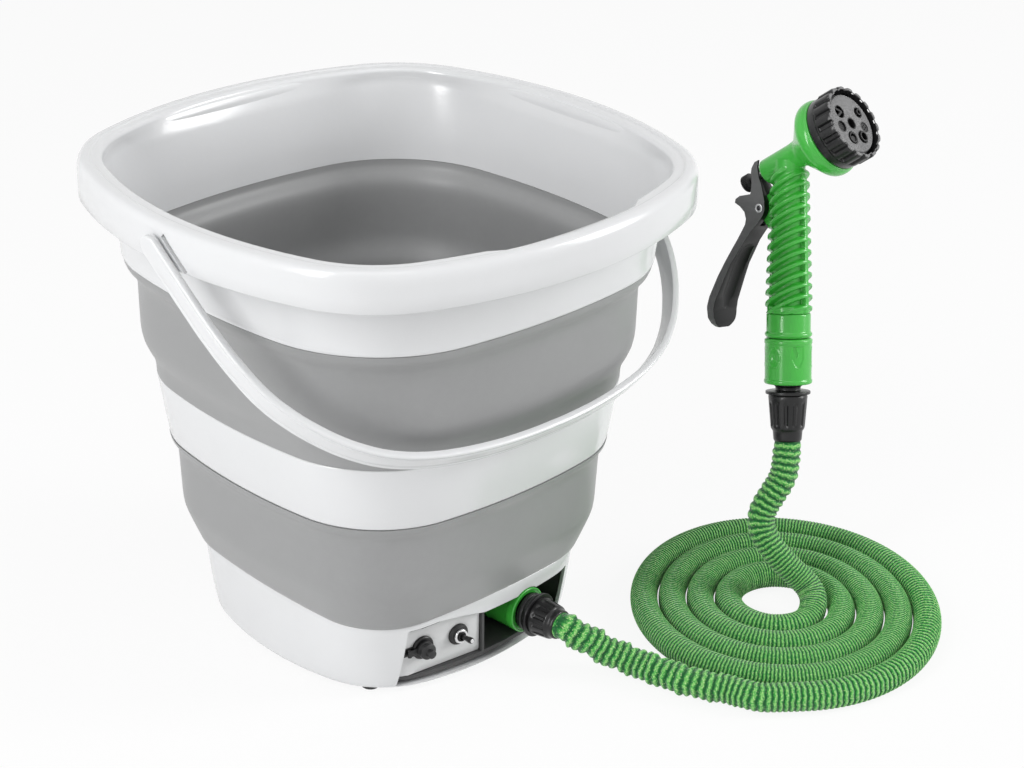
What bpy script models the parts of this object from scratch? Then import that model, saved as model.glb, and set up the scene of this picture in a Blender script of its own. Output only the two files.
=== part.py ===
"""Collapsible bucket with a pump in its base, a fabric hose and a spray gun.

Metres, +Z up. The origin is the middle of the base's flat underside, and the feet reach 3 mm below it.
The recess with the charging socket, the switch and the outlet faces -Y. The bail pivots on -X and +X.
The hose lies coiled towards +X and -Y, and the gun stands over the coil on the hose's rising end.
"""

import math

import bmesh
import bpy
import numpy as np
from mathutils import Matrix, Vector

# Clearances
GAP = 0.0003  # between two pieces that touch or are bonded
RUNNING = 0.0004  # radial, round a pin or a plug that moves
WALL = 0.0025  # rigid plastic wall
SOFT_WALL = 0.0026  # folding wall

# Bucket in plan, the same from side to side and from front to back
RIM_HALF = 0.182  # the turned-over lip
RIM_CORNER, RIM_SIDE = 0.090, 0.300  # radii of its corners and of its bulged sides
SKIRT_HALF = 0.154
SKIRT_CORNER, SKIRT_SIDE = 0.094, 0.479
BAND_HALF = 0.130  # at the middle band's lower edge
BAND_CORNER, BAND_SIDE = 0.0734, 0.422
BAND_T = 0.0030
BASE_TOP_HALF = 0.1067
BASE_TOP_CORNER, BASE_TOP_SIDE = 0.0485, 0.6055
BASE_LOW_HALF = 0.108
BASE_LOW_CORNER, BASE_LOW_SIDE = 0.065, 0.200
RIM = (RIM_HALF, RIM_CORNER, RIM_SIDE)
SKIRT = (SKIRT_HALF, SKIRT_CORNER, SKIRT_SIDE)
BAND = (BAND_HALF, BAND_CORNER, BAND_SIDE)
BASE_TOP = (BASE_TOP_HALF, BASE_TOP_CORNER, BASE_TOP_SIDE)
BASE_LOW = (BASE_LOW_HALF, BASE_LOW_CORNER, BASE_LOW_SIDE)

# Heights
FOOT_H = 0.003
COVER_T = 0.0028
BASE_H = 0.0516
DECK_BELOW = 0.0033  # the bucket's floor lies this far below the base's top
DECK_T = 0.0030
DECK_TOP = BASE_H - DECK_BELOW
DECK_LOW = DECK_TOP - DECK_T
BAND_LOW = 0.136
BAND_TOP = 0.181
BAND_GROWTH = 0.007  # the band is this much wider at its top
SKIRT_LOW = 0.2655
LIP_LOW = 0.304
RIM_TOP = 0.330
LIP_T = 0.0023
LIP_INSET = 0.0165  # from the lip's outside to the rim's inner edge
SPOUT_OUT = 0.005
SPOUT_HALF = 0.054

# Bail
PIVOT_UP = 0.011  # from the lip's lower edge
PIVOT_Z = LIP_LOW + PIVOT_UP
HANG = math.radians(50)  # from straight down towards -Y
BAIL_W = 0.015
BAIL_T = 0.0050
BAIL_ROOM = 0.007  # from the lip's outside to the strap's outside
BAIL_OUT = RIM_HALF + BAIL_ROOM
BAIL_REACH = 0.1985  # from the pivots to the middle of the grip
BAIL_BEND = ((0.0, 1.0), (0.0907, 0.9958), (0.2116, 0.9884), (0.3224, 0.9799), (0.4534, 0.9603), (0.5793, 0.9259),
             (0.6851, 0.8677), (0.7809, 0.7884), (0.8463, 0.7116), (0.8967, 0.6296), (0.9395, 0.5185),
             (0.9698, 0.3862), (0.9899, 0.2381), (0.9985, 0.1058), (1.0, 0.0))  # shares of its reach and its width
STUD_R = 0.0038
STUD_L = 0.0105
CLIP_R, CLIP_T = 0.0062, 0.0020

# Recess in the base, seen from the front: x and z of its edge
RECESS = ((-0.0748, 0.0030), (0.0680, 0.0030), (0.0745, 0.0412), (0.0380, 0.0400), (-0.0090, 0.0405),
          (-0.0280, 0.0450), (-0.0480, 0.0478), (-0.0715, 0.0478))
PANEL_TURN = math.radians(-6.8)
PANEL_MID = (-0.0420, -0.0982)
PANEL_T = 0.0024
PANEL_Z = (0.0101, 0.0448)
SILL_TOP = 0.0096
SOCKET_X, SOCKET_Z = -0.0140, 0.0284  # x along the panel from its middle
TOGGLE_X, TOGGLE_Z = 0.0148, 0.0283

# Outlet and pump
OUTLET = (0.031, -0.107, 0.0262)
OUTLET_TURN = math.radians(5)
COLLAR_R = 0.016
COLLAR_L = 0.027
PUMP = (0.0040, 0.0080)
PUMP_R = 0.0250
PUMP_LOW, PUMP_TOP = 0.0150, 0.0372
IMPELLER_R = 0.0185

# Hose
HOSE_D = 0.0190
FLOOR = -FOOT_H
COIL_X, COIL_Y = 0.1898, -0.1946
COIL_R = 0.1031  # at the right of the coil, outermost turn
COIL_PITCH = 0.01965
COIL_OVAL = 0.09
COIL_OVAL_AT = math.radians(38)
COIL_REF = math.radians(315.6)
COIL_FROM, COIL_TO = math.radians(226), math.radians(1694)

# Gun, along its own axes: x towards the dial, z up the grip from the quick connector's mouth
GUN_X, GUN_Y, GUN_Z = 0.2246, -0.1610, 0.1547  # the middle of that mouth
GUN_UP = (0.1996, 0.2448, 0.9490)
GUN_TURN = math.radians(42.5)  # the dial's side turned from the picture's right towards the viewer
VIEW_RIGHT = (0.715, -0.699, 0.0)
HEAD_Z = 0.1539
HEAD_TILT = math.radians(26)
RIBS = 12
RIB_PITCH = 0.0077
LEVER_X, LEVER_Z = -0.0193, 0.1202
LEVER_W = 0.0180  # at the pivot; the paddle is wider and the arm over it narrower
LUG_W = 0.0062
DIAL_R = 0.0266
DIAL_BACK, DIAL_STEP, DIAL_FRONT = 0.0388, 0.0444, 0.0584  # along the head: its ring, then its lugs
FACE_R = 0.0237
LUGS = 18

for old in list(bpy.data.objects):
    bpy.data.objects.remove(old, do_unlink=True)

scene = bpy.context.scene
PARTS = bpy.data.collections.new("bucket_with_pump")
CUTTERS = bpy.data.collections.new("cutters")
scene.collection.children.link(PARTS)
scene.collection.children.link(CUTTERS)


def material(name, colour, metallic, roughness):
    made = bpy.data.materials.new(name)
    made.use_nodes = True
    shader = made.node_tree.nodes["Principled BSDF"]
    shader.inputs["Base Color"].default_value = (*colour, 1.0)
    shader.inputs["Metallic"].default_value = metallic
    shader.inputs["Roughness"].default_value = roughness
    made.diffuse_color = (*colour, 1.0)
    return made


def place(name, mesh, looks, matrix=None, cutter=False):
    """An object with its material, in the parts' collection or hidden among the cutters."""
    made = bpy.data.objects.new(name, mesh)
    if looks:
        mesh.materials.append(looks)
    (CUTTERS if cutter else PARTS).objects.link(made)
    if cutter:
        made.hide_render = True
        made.display_type = "WIRE"
    if matrix:
        made.matrix_world = matrix
    return made


def mesh_of(name, verts, faces, smooth=0.6):
    """A mesh with its faces turned outwards, smooth across edges flatter than the angle."""
    mesh = bpy.data.meshes.new(name)
    mesh.from_pydata([tuple(v) for v in verts], [], faces)
    work = bmesh.new()
    work.from_mesh(mesh)
    bmesh.ops.recalc_face_normals(work, faces=work.faces[:])
    work.to_mesh(mesh)
    work.free()
    if smooth:
        mesh.polygons.foreach_set("use_smooth", [True] * len(mesh.polygons))
        mesh.set_sharp_from_angle(angle=smooth)
    mesh.update()
    return mesh


def section(a, r, big, count):
    """Points of a bulged square with rounded corners: a half width, r corner, big side radius."""
    k = big - a
    c = (-k + math.sqrt(2 * (big - r) ** 2 - k * k)) / 2
    turn = math.atan2(c, c + k)
    quarter = [(-k + big * math.cos(t), big * math.sin(t)) for t in np.linspace(-turn, turn, count + 1)[:-1]]
    quarter += [(c + r * math.cos(t), c + r * math.sin(t))
                for t in np.linspace(turn, math.pi / 2 - turn, count + 1)[:-1]]
    points = []
    for q in range(4):
        s, e = (0, 1, 0, -1)[q], (1, 0, -1, 0)[q]
        points += [(x * e - y * s, x * s + y * e) for x, y in quarter]
    return points


def corner_reach(a, r, big):
    k = big - a
    return (-k + math.sqrt(2 * (big - r) ** 2 - k * k)) / 2 * math.sqrt(2) + r


def mixed(first, second, t):
    return tuple(p + (q - p) * t for p, q in zip(first, second))


def grown(base, d):
    return tuple(value + d for value in base)


def bridged(name, rings, looks, closed=True, cutter=False, smooth=0.6):
    """A solid from rings of equal count: a closed profile, or a stack with its ends capped."""
    count = len(rings[0])
    verts = [point for ring in rings for point in ring]
    faces = []
    for i in range(len(rings) if closed else len(rings) - 1):
        j = (i + 1) % len(rings)
        for p in range(count):
            q = (p + 1) % count
            faces.append((i * count + p, i * count + q, j * count + q, j * count + p))
    if not closed:
        faces.append(tuple(range(count)))
        faces.append(tuple(range(len(rings) * count - count, len(rings) * count)))
    return place(name, mesh_of(name, verts, faces, smooth), looks, cutter=cutter)


def level(base, d, z, count=5):
    """One ring of a wall: the section moved out by d, at height z."""
    return [(x, y, z) for x, y in section(*grown(base, d), count)]


def turned(name, profile, looks, steps=24, matrix=None, cutter=False):
    """A turned piece. The profile runs from top to bottom; a ring's goes on back up its bore."""
    mesh = bpy.data.meshes.new(name)
    edges = [(i, i + 1) for i in range(len(profile) - 1)]
    if profile[0][0] > 0:
        edges.append((len(profile) - 1, 0))
    mesh.from_pydata([(r, 0.0, z) for r, z in profile], edges, [])
    made = place(name, mesh, looks, matrix, cutter)
    screw = made.modifiers.new("turn", "SCREW")
    screw.steps = screw.render_steps = steps
    screw.use_merge_vertices = True
    screw.merge_threshold = 0.00001
    screw.use_smooth_shade = True
    return made


def plate(name, outline, low, high, looks, matrix=None, cutter=False, smooth=0.5):
    """A flat outline in x and y, raised from low to high along z."""
    n = len(outline)
    verts = [(x, y, low) for x, y in outline] + [(x, y, high) for x, y in outline]
    faces = [tuple(range(n)), tuple(range(n, 2 * n))]
    faces += [(i, (i + 1) % n, n + (i + 1) % n, n + i) for i in range(n)]
    return place(name, mesh_of(name, verts, faces, smooth), looks, matrix, cutter)


def block(name, low, high, looks, matrix=None, cutter=False):
    outline = [(low[0], low[1]), (high[0], low[1]), (high[0], high[1]), (low[0], high[1])]
    return plate(name, outline, low[2], high[2], looks, matrix, cutter, 0)


def rod(name, radius, low, high, looks, steps=24, matrix=None, cutter=False):
    return turned(name, [(0, high), (radius, high), (radius, low), (0, low)], looks, steps, matrix, cutter)


def tube(name, outer, inner, low, high, looks, steps=24, matrix=None, cutter=False):
    return turned(name, [(outer, high), (outer, low), (inner, low), (inner, high)], looks, steps, matrix, cutter)


def cut(target, *tools, add=False):
    """Takes the tools from the target, or adds them to it."""
    for tool in tools:
        change = target.modifiers.new(tool.name, "BOOLEAN")
        change.operation = "UNION" if add else "DIFFERENCE"
        change.solver = "EXACT"
        change.object = tool
    return target


def keep_inside(target, tool):
    change = target.modifiers.new(tool.name, "BOOLEAN")
    change.operation = "INTERSECT"
    change.solver = "EXACT"
    change.object = tool
    return target


def smooth_path(points, step):
    """Points every step or so along a smooth line through the given ones."""
    points = [Vector(p) for p in points]
    ends = [2 * points[0] - points[1], *points, 2 * points[-1] - points[-2]]
    line = []
    for i in range(1, len(ends) - 2):
        a, b, c, d = ends[i - 1:i + 3]
        parts = max(1, round((c - b).length / step))
        for s in range(parts):
            t = s / parts
            line.append(0.5 * (2 * b + (c - a) * t + (2 * a - 5 * b + 4 * c - d) * t * t
                               + (3 * b - a - 3 * c + d) * t ** 3))
    return [*line, points[-1]]


def swept(name, points, radius, looks, resolution=2):
    """A round tube along the points, as one closed mesh."""
    curve = bpy.data.curves.new(name, "CURVE")
    curve.dimensions = "3D"
    line = curve.splines.new("POLY")
    line.points.add(len(points) - 1)
    for point, at in zip(line.points, points):
        point.co = (*at, 1.0)
    curve.bevel_depth = radius
    curve.bevel_resolution = resolution
    curve.use_fill_caps = True
    guide = bpy.data.objects.new(name + "_line", curve)
    scene.collection.objects.link(guide)
    bpy.context.view_layer.update()
    mesh = bpy.data.meshes.new_from_object(guide.evaluated_get(bpy.context.evaluated_depsgraph_get()))
    work = bmesh.new()
    work.from_mesh(mesh)
    bmesh.ops.remove_doubles(work, verts=work.verts[:], dist=0.00001)
    bmesh.ops.recalc_face_normals(work, faces=work.faces[:])
    work.to_mesh(mesh)
    work.free()
    bpy.data.objects.remove(guide, do_unlink=True)
    mesh.name = name
    mesh.materials.clear()
    mesh.polygons.foreach_set("use_smooth", [True] * len(mesh.polygons))
    mesh.set_sharp_from_angle(angle=0.9)
    return place(name, mesh, looks)


def fluted(name, radius, depth, lugs, share, low, high, looks, matrix=None):
    """A round piece with raised lugs round it: share is the part of each step that a lug takes."""
    outline = []
    step = 2 * math.pi / lugs
    for i in range(lugs):
        for at, out in ((0, 0), (0.12, 1), (share, 1), (share + 0.12, 0)):
            t = (i + at) * step
            r = radius if out else radius - depth
            outline.append((r * math.cos(t), r * math.sin(t)))
    return plate(name, outline, low, high, looks, matrix, False, 0.5)


# Materials
white = material("white_plastic", (0.86, 0.87, 0.88), 0.0, 0.28)
grey_soft = material("grey_soft_wall", (0.33, 0.33, 0.34), 0.0, 0.5)
panel_grey = material("panel_plastic", (0.62, 0.63, 0.64), 0.0, 0.4)
dark = material("dark_plastic", (0.05, 0.05, 0.055), 0.0, 0.5)
black = material("black_plastic", (0.018, 0.018, 0.020), 0.0, 0.35)
rubber = material("rubber", (0.02, 0.02, 0.02), 0.0, 0.75)
green = material("green_plastic", (0.05, 0.50, 0.06), 0.0, 0.3)
fabric = material("hose_fabric", (0.06, 0.38, 0.09), 0.0, 0.85)
steel = material("steel", (0.70, 0.70, 0.72), 1.0, 0.3)
copper_board = material("circuit_board", (0.02, 0.16, 0.07), 0.0, 0.5)
cell_wrap = material("cell_wrap", (0.10, 0.22, 0.55), 0.0, 0.4)


# Base shell: a drafted wall with a turned-in foot edge, open at its top and bottom
def base_section(z):
    t = min(1.0, max(0.0, z / BASE_H))
    return mixed(BASE_LOW, BASE_TOP, t)


base_rings = [level(base_section(z), d, z, 5) for z, d in (
    (BASE_H, 0.0), (0.038, 0.0), (0.021, 0.0), (0.006, 0.0), (0.0022, -0.0012), (0.0004, -0.0042),
    (0.0004, -0.0082), (COVER_T + 0.0004, -0.0082), (0.0065, -WALL), (0.021, -WALL), (0.038, -WALL),
    (BASE_H, -WALL))]
base_shell = bridged("base_shell", base_rings, white)
recess_cutter = plate("recess_cutter", RECESS, 0.082, 0.130, None,
                      Matrix.Rotation(math.radians(90), 4, "X"), cutter=True)
cut(base_shell, recess_cutter)

# Deck: the bucket's inner floor, with an upstand inside the folding wall and posts for the screws
POSTS = ((-0.066, 0.074), (0.074, 0.066), (-0.080, -0.056), (0.086, -0.050))
deck = bridged("bucket_floor", [
    level(base_section(DECK_LOW), -WALL - GAP, DECK_LOW), level(base_section(DECK_TOP), -WALL - GAP, DECK_TOP),
    level(BASE_TOP, -0.0034, BASE_H + 0.0070), level(BASE_TOP, -0.0054, BASE_H + 0.0070),
    level(BASE_TOP, -0.0058, DECK_TOP)], dark, closed=False)
post_tools = [rod(f"post_{i}", 0.0040, COVER_T + GAP, DECK_LOW + 0.001, None, 8,
                  Matrix.Translation((x, y, 0)), cutter=True) for i, (x, y) in enumerate(POSTS)]
post_bores = [rod(f"post_bore_{i}", 0.0018, COVER_T - 0.001, 0.0160, None, 10,
                  Matrix.Translation((x, y, 0)), cutter=True) for i, (x, y) in enumerate(POSTS)]
inlet_bore = rod("inlet_bore", 0.0080, DECK_LOW - 0.002, DECK_TOP + 0.002, None, 16,
                 Matrix.Translation((*PUMP, 0)), cutter=True)
cut(deck, *post_tools, add=True)
cut(deck, *post_bores, inlet_bore)

# Strainer over the pump's inlet
strainer = turned("inlet_strainer", [(0.0, DECK_TOP + 0.0075), (0.0175, DECK_TOP + 0.0075),
                                     (0.0205, DECK_TOP + 0.0055), (0.0220, DECK_TOP + GAP),
                                     (0.0200, DECK_TOP + GAP), (0.0188, DECK_TOP + 0.0045),
                                     (0.0165, DECK_TOP + 0.0058), (0.0, DECK_TOP + 0.0058)],
                  dark, 20, Matrix.Translation((*PUMP, 0)))
for i in range(8):
    slot = block(f"strainer_slot_{i}", (0.0060, -0.0011, DECK_TOP + 0.0035), (0.0150, 0.0011, DECK_TOP + 0.009),
                 None, Matrix.Translation((*PUMP, 0)) @ Matrix.Rotation(i * math.pi / 4, 4, "Z"), cutter=True)
    cut(strainer, slot)

# Bottom cover with its screws, feet and the board's standoffs
BOARD_AT = (-0.046, -0.066)
cover = plate("bottom_cover", section(*grown(base_section(0.0), -0.0082 - GAP), 5), 0.0, COVER_T, white)
standoffs = [rod(f"standoff_{i}", 0.0022, COVER_T - 0.001, 0.0098, None, 10,
                 Matrix.Translation((BOARD_AT[0] + sx * 0.019, BOARD_AT[1] + sy * 0.008, 0)), cutter=True)
             for i, (sx, sy) in enumerate(((1, 1), (1, -1), (-1, 1), (-1, -1)))]
screw_holes = [rod(f"screw_hole_{i}", 0.0018, -0.001, COVER_T + 0.001, None, 10,
                   Matrix.Translation((x, y, 0)), cutter=True) for i, (x, y) in enumerate(POSTS)]
cut(cover, *standoffs, add=True)
cut(cover, *screw_holes)
for i, (x, y) in enumerate(POSTS):
    turned(f"cover_screw_{i + 1}", [(0, 0.0120), (0.0014, 0.0118), (0.0014, -GAP), (0.0034, -GAP),
                                    (0.0030, -0.0018), (0, -0.0022)], steel, 12, Matrix.Translation((x, y, 0)))
FEET = ((-0.0790, -0.0720), (0.0720, -0.0730), (0.0720, 0.0790), (-0.0790, 0.0720))
for i, (x, y) in enumerate(FEET):
    turned(f"foot_{i + 1}", [(0, -GAP), (0.0066, -GAP), (0.0066, -0.0022), (0.0058, -FOOT_H), (0, -FOOT_H)],
           rubber, 20, Matrix.Translation((x, y, 0)))

# Folding walls: at shares of the height between two rigid rings, how far each fold stands out from the
# straight line between their sections
LOWER_FOLD = ((1.0, 0.00027), (0.8934, -0.00165), (0.7690, -0.00082), (0.4017, 0.00534), (0.2891, 0.00552),
              (0.0344, 0.00237), (0.0, 0.00023))
UPPER_FOLD = ((1.0, -0.00022), (0.9349, -0.00009), (0.8284, -0.00424), (0.7633, -0.00455), (0.3965, 0.00155),
              (0.2959, 0.00199), (0.1420, -0.00120), (0.0, -0.00026))
BAND_WIDE = grown(BAND, BAND_GROWTH)


def folding_wall(name, folds, low, high, z_low, z_high):
    """Outer rings down the listed folds, then the inner ones back up, with a gap at either end."""
    out, back = [], []
    for share, d in folds:
        z = min(z_high - GAP, max(z_low + GAP, z_low + share * (z_high - z_low)))
        base = mixed(low, high, (z - z_low) / (z_high - z_low))
        out.append(level(base, d, z))
        back.append(level(base, d - SOFT_WALL, z))
    return bridged(name, out + back[::-1], grey_soft, smooth=0.9)


lower_wall = folding_wall("lower_fold_wall", LOWER_FOLD, BASE_TOP, BAND, BASE_H, BAND_LOW)
upper_wall = folding_wall("upper_fold_wall", UPPER_FOLD, BAND_WIDE, SKIRT, BAND_TOP, SKIRT_LOW)

# Middle band
middle_band = bridged("middle_band", [
    level(BAND_WIDE, -0.0006, BAND_TOP), level(BAND_WIDE, 0.0, BAND_TOP - 0.0015),
    level(mixed(BAND, BAND_WIDE, 0.5), 0.0, (BAND_LOW + BAND_TOP) / 2), level(BAND, 0.0, BAND_LOW + 0.0015),
    level(BAND, -0.0006, BAND_LOW), level(BAND, -BAND_T, BAND_LOW),
    level(mixed(BAND, BAND_WIDE, 0.5), -BAND_T, (BAND_LOW + BAND_TOP) / 2), level(BAND_WIDE, -BAND_T, BAND_TOP)],
    white, smooth=0.9)

# Rim frame: a skirt that runs up inside a turned-over lip, with the pouring spout in its inner edge
SPOUT_SOFT = 0.012


def spout_shift(x, y):
    if y > 0 or abs(x) > SPOUT_HALF + SPOUT_SOFT:
        return 0.0
    t = min(1.0, (SPOUT_HALF + SPOUT_SOFT - abs(x)) / SPOUT_SOFT)
    return SPOUT_OUT * t * t * (3 - 2 * t)


def rim_ring(t, d, z, pour=0.0):
    """t runs from the skirt's section to the rim's; pour is the share of the spout's shift."""
    ring = section(*grown(mixed(SKIRT, RIM, t), d), 5)
    return [(x, y - pour * spout_shift(x, y), z) for x, y in ring]


# The skirt turns outwards at its knee, below the lip
KNEE_LOW, KNEE = LIP_LOW - 0.018, LIP_LOW - 0.004
LIP_ROOF = RIM_TOP - 0.0025  # the lip's top wall, from below
rim_profile = [
    rim_ring(0.0, 0.0, SKIRT_LOW), rim_ring(0.10, 0.0, KNEE_LOW), rim_ring(0.20, 0.0, KNEE),
    rim_ring(0.32, 0.0, LIP_ROOF - 0.0010, 0.5), rim_ring(0.75, 0.0, LIP_ROOF, 0.3),
    rim_ring(1.0, -LIP_T - 0.0006, LIP_ROOF - 0.0020), rim_ring(1.0, -LIP_T, LIP_LOW),
    rim_ring(1.0, 0.0, LIP_LOW), rim_ring(1.0, 0.0, RIM_TOP - 0.0075), rim_ring(1.0, -0.0010, RIM_TOP - 0.0028),
    rim_ring(1.0, -0.0034, RIM_TOP - 0.0002), rim_ring(1.0, -0.0084, RIM_TOP),
    rim_ring(1.0, -0.0092, RIM_TOP - 0.0006), rim_ring(1.0, -LIP_INSET + 0.0030, RIM_TOP - 0.0006, 0.8),
    rim_ring(1.0, -LIP_INSET, RIM_TOP - 0.0024, 1.0), rim_ring(0.35, -0.0045, LIP_LOW + 0.008, 0.7),
    rim_ring(0.20, -WALL, KNEE - 0.0010), rim_ring(0.10, -WALL, KNEE_LOW), rim_ring(0.0, -WALL, SKIRT_LOW)]
rim_frame = bridged("rim_frame", rim_profile, white, smooth=0.9)
hang = Matrix.Rotation(-HANG, 4, "X")  # the bail's down direction turned towards -Y
for side in (-1, 1):
    hole = rod(f"pivot_hole_{side + 1}", STUD_R + RUNNING, -0.0075, 0.0075, None, 16,
               Matrix.Translation((side * (RIM_HALF - 0.0015), 0, PIVOT_Z))
               @ Matrix.Rotation(math.pi / 2, 4, "Y"), cutter=True)
    window = block(f"lip_window_{side + 1}", (-0.0035, -0.0125, -0.0270), (0.0045, -0.0088, 0.0010), None,
                   Matrix.Translation((side * (RIM_HALF - 0.0005), 0, PIVOT_Z)) @ hang, cutter=True)
    cut(rim_frame, hole, window)


# Bail: a flat strap with softened edges and a stud at each end
def bail_stations():
    half = [Vector((x * BAIL_OUT, -depth * BAIL_REACH)) for depth, x in BAIL_BEND]
    line = [Vector((-p.x, p.y)) for p in half] + half[::-1][1:]
    fine = [Vector((p.x, p.y)) for p in smooth_path([(p.x, p.y, 0) for p in line], 0.024)]
    lead = [fine[0] + (fine[0] - fine[1]).normalized() * s for s in (0.0075, 0.0068, 0.0050, 0.0026)]
    tail = [fine[-1] + (fine[-1] - fine[-2]).normalized() * s for s in (0.0026, 0.0050, 0.0068, 0.0075)]
    widths = [0.22, 0.42, 0.75, 0.94] + [1.0] * len(fine) + [0.94, 0.75, 0.42, 0.22]
    return lead + fine + tail, widths


def bail_rings():
    points, widths = bail_stations()
    rings = []
    for i, (at, wide) in enumerate(zip(points, widths)):
        ahead = points[min(i + 1, len(points) - 1)] - points[max(i - 1, 0)]
        along = ahead.normalized()
        out = Vector((along.y, -along.x))
        if out.dot(at - Vector((0, -0.02))) < 0:
            out = -out
        ring = []
        for side, depth in ((-1.0, 0.0010), (-0.88, 0.0), (0.88, 0.0), (1.0, 0.0010), (1.0, BAIL_T - 0.0010),
                            (0.88, BAIL_T), (-0.88, BAIL_T), (-1.0, BAIL_T - 0.0010)):
            flat = at - out * depth
            ring.append((flat.x, side * wide * BAIL_W / 2, flat.y))
        rings.append(ring)
    return rings


bail_frame = Matrix.Translation((0, 0, PIVOT_Z)) @ hang
bail = bridged("bail_handle", bail_rings(), white, closed=False, smooth=0.7)
bail.matrix_world = bail_frame
for side in (-1, 1):
    stud = rod(f"bail_stud_{side + 1}", STUD_R, -STUD_L - 0.001, 0.001, None, 16,
               Matrix.Translation((side * (BAIL_OUT - BAIL_T), 0, PIVOT_Z))
               @ Matrix.Rotation(side * math.pi / 2, 4, "Y"), cutter=True)
    cut(bail, stud, add=True)
    name = "left" if side < 0 else "right"
    tube(f"bail_clip_{name}", CLIP_R, STUD_R + GAP / 2, -STUD_L + 0.0008, -STUD_L + 0.0008 + CLIP_T, white, 16,
         Matrix.Translation((side * (BAIL_OUT - BAIL_T), 0, PIVOT_Z)) @ Matrix.Rotation(side * math.pi / 2, 4, "Y"))

# Recess liner: the dark sill along the recess and the cavity round the outlet
liner = block("recess_liner", (-0.0092, -0.112, COVER_T + 0.0006), (0.0770, -0.0400, DECK_LOW - GAP), dark)
sill = block("sill", (-0.0790, -0.112, COVER_T + 0.0006), (0.0, -0.0860, SILL_TOP), None, cutter=True)
cavity = block("cavity", (-0.0070, -0.130, SILL_TOP), (0.0745, -0.0422, 0.0428), None, cutter=True)
inside_rings = [level(base_section(z), -WALL - GAP, z, 5) for z in (0.0065, 0.030, BASE_H)]
inside_rings.insert(0, level(base_section(0.0), -0.0079, COVER_T + 0.0001, 5))
inside = bridged("base_inside", inside_rings, None, closed=False, cutter=True)
outlet_frame = Matrix.Translation(OUTLET) @ Matrix.Rotation(OUTLET_TURN, 4, "Z") @ Matrix.Rotation(math.pi / 2, 4, "X")
pipe_hole = rod("pipe_hole", 0.0076, -0.080, -0.055, None, 16, outlet_frame, cutter=True)
cut(liner, sill, add=True)
cut(liner, cavity, pipe_hole)
keep_inside(liner, inside)

# Control panel, set back behind the recess on a chord of the base's curved front
panel_frame = Matrix.Translation((*PANEL_MID, 0)) @ Matrix.Rotation(PANEL_TURN, 4, "Z") @ Matrix.Rotation(math.pi / 2, 4, "X")
panel = plate("control_panel", ((-0.0345, PANEL_Z[0]), (0.0325, PANEL_Z[0]), (0.0325, PANEL_Z[1]),
                                (-0.0345, PANEL_Z[1])), -PANEL_T, 0.0, panel_grey, panel_frame, smooth=0)
keep_inside(panel, inside)
socket_frame = panel_frame @ Matrix.Translation((SOCKET_X, SOCKET_Z, 0))
toggle_frame = panel_frame @ Matrix.Translation((TOGGLE_X, TOGGLE_Z, 0))
cut(panel, rod("socket_hole", 0.0058, -0.010, 0.005, None, 16, socket_frame, cutter=True),
    rod("toggle_hole", 0.0032, -0.010, 0.005, None, 16, toggle_frame, cutter=True))


def hinged(piece, at, turn=None):
    """Parents the piece to an empty on its joint's axis, and leaves it where it is."""
    pivot = bpy.data.objects.new(piece.name + "_axis", None)
    pivot.matrix_world = (turn or Matrix.Identity(4)).copy()
    pivot.location = at
    pivot.empty_display_size = 0.01
    PARTS.objects.link(pivot)
    bpy.context.view_layer.update()
    piece.parent = pivot
    piece.matrix_parent_inverse = pivot.matrix_world.inverted()
    return piece


# Charging socket with a seat for the cap's strap
CAP_HINGE_X, CAP_HINGE_Z = -0.0118, 0.0034
socket = turned("charge_socket", [(0, -0.0080), (0.0040, -0.0080), (0.0040, 0.0022), (0.0082, 0.0022),
                                  (0.0082, GAP), (0.0055, GAP), (0.0055, -0.0092), (0, -0.0092)],
                black, 28, socket_frame)
cut(socket, block("strap_seat", (-0.0148, -0.0030, GAP), (-0.0060, 0.0030, 0.0014), None, socket_frame, cutter=True),
    add=True)

# Its rubber cap swings on the strap's left end
cap = turned("charge_cap", [(0, 0.0132), (0.0026, 0.0130), (0.0031, 0.0122), (0.0031, 0.0092), (0.0050, 0.0089),
                            (0.0056, 0.0080), (0.0058, 0.0026), (0.0029, 0.0026), (0.0029, -0.0010),
                            (0, -0.0010)], rubber, 20, socket_frame)
cut(cap, block("cap_strap", (CAP_HINGE_X, -0.0023, 0.0026), (-0.0040, 0.0023, 0.0042), None, socket_frame, cutter=True),
    rod("cap_roll", 0.0014, -0.0023, 0.0023, None, 10, socket_frame
        @ Matrix.Translation((CAP_HINGE_X, 0, CAP_HINGE_Z)) @ Matrix.Rotation(math.pi / 2, 4, "X"), cutter=True),
    add=True)
hinged(cap, socket_frame @ Vector((CAP_HINGE_X, 0, CAP_HINGE_Z)))

# Toggle switch: a body with a threaded neck, a rubber boot, a ring nut and a bat lever
TOGGLE_TILT = math.radians(11)  # at rest the lever points up by this, and it throws as far below level
TOGGLE_PIVOT = 0.0036
switch = block("switch_body", (-0.0040, -0.0064, -0.0140), (0.0040, 0.0064, -PANEL_T - GAP), dark, toggle_frame)
cut(switch, rod("switch_neck", 0.0030, -0.0035, 0.0062, None, 16, toggle_frame, cutter=True), add=True)
cut(switch, turned("switch_throat", [(0, 0.0075), (0.0029, 0.0075), (0.0017, 0.0016), (0, 0.0016)], None, 14,
                   toggle_frame, cutter=True))
turned("switch_boot", [(0.0060, 0.0028), (0.0074, 0.0020), (0.0076, GAP), (0.0033, GAP), (0.0033, 0.0028)],
       rubber, 28, toggle_frame)
tube("switch_nut", 0.0051, 0.0033, 0.0031, 0.0050, steel, 20, toggle_frame)
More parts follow.
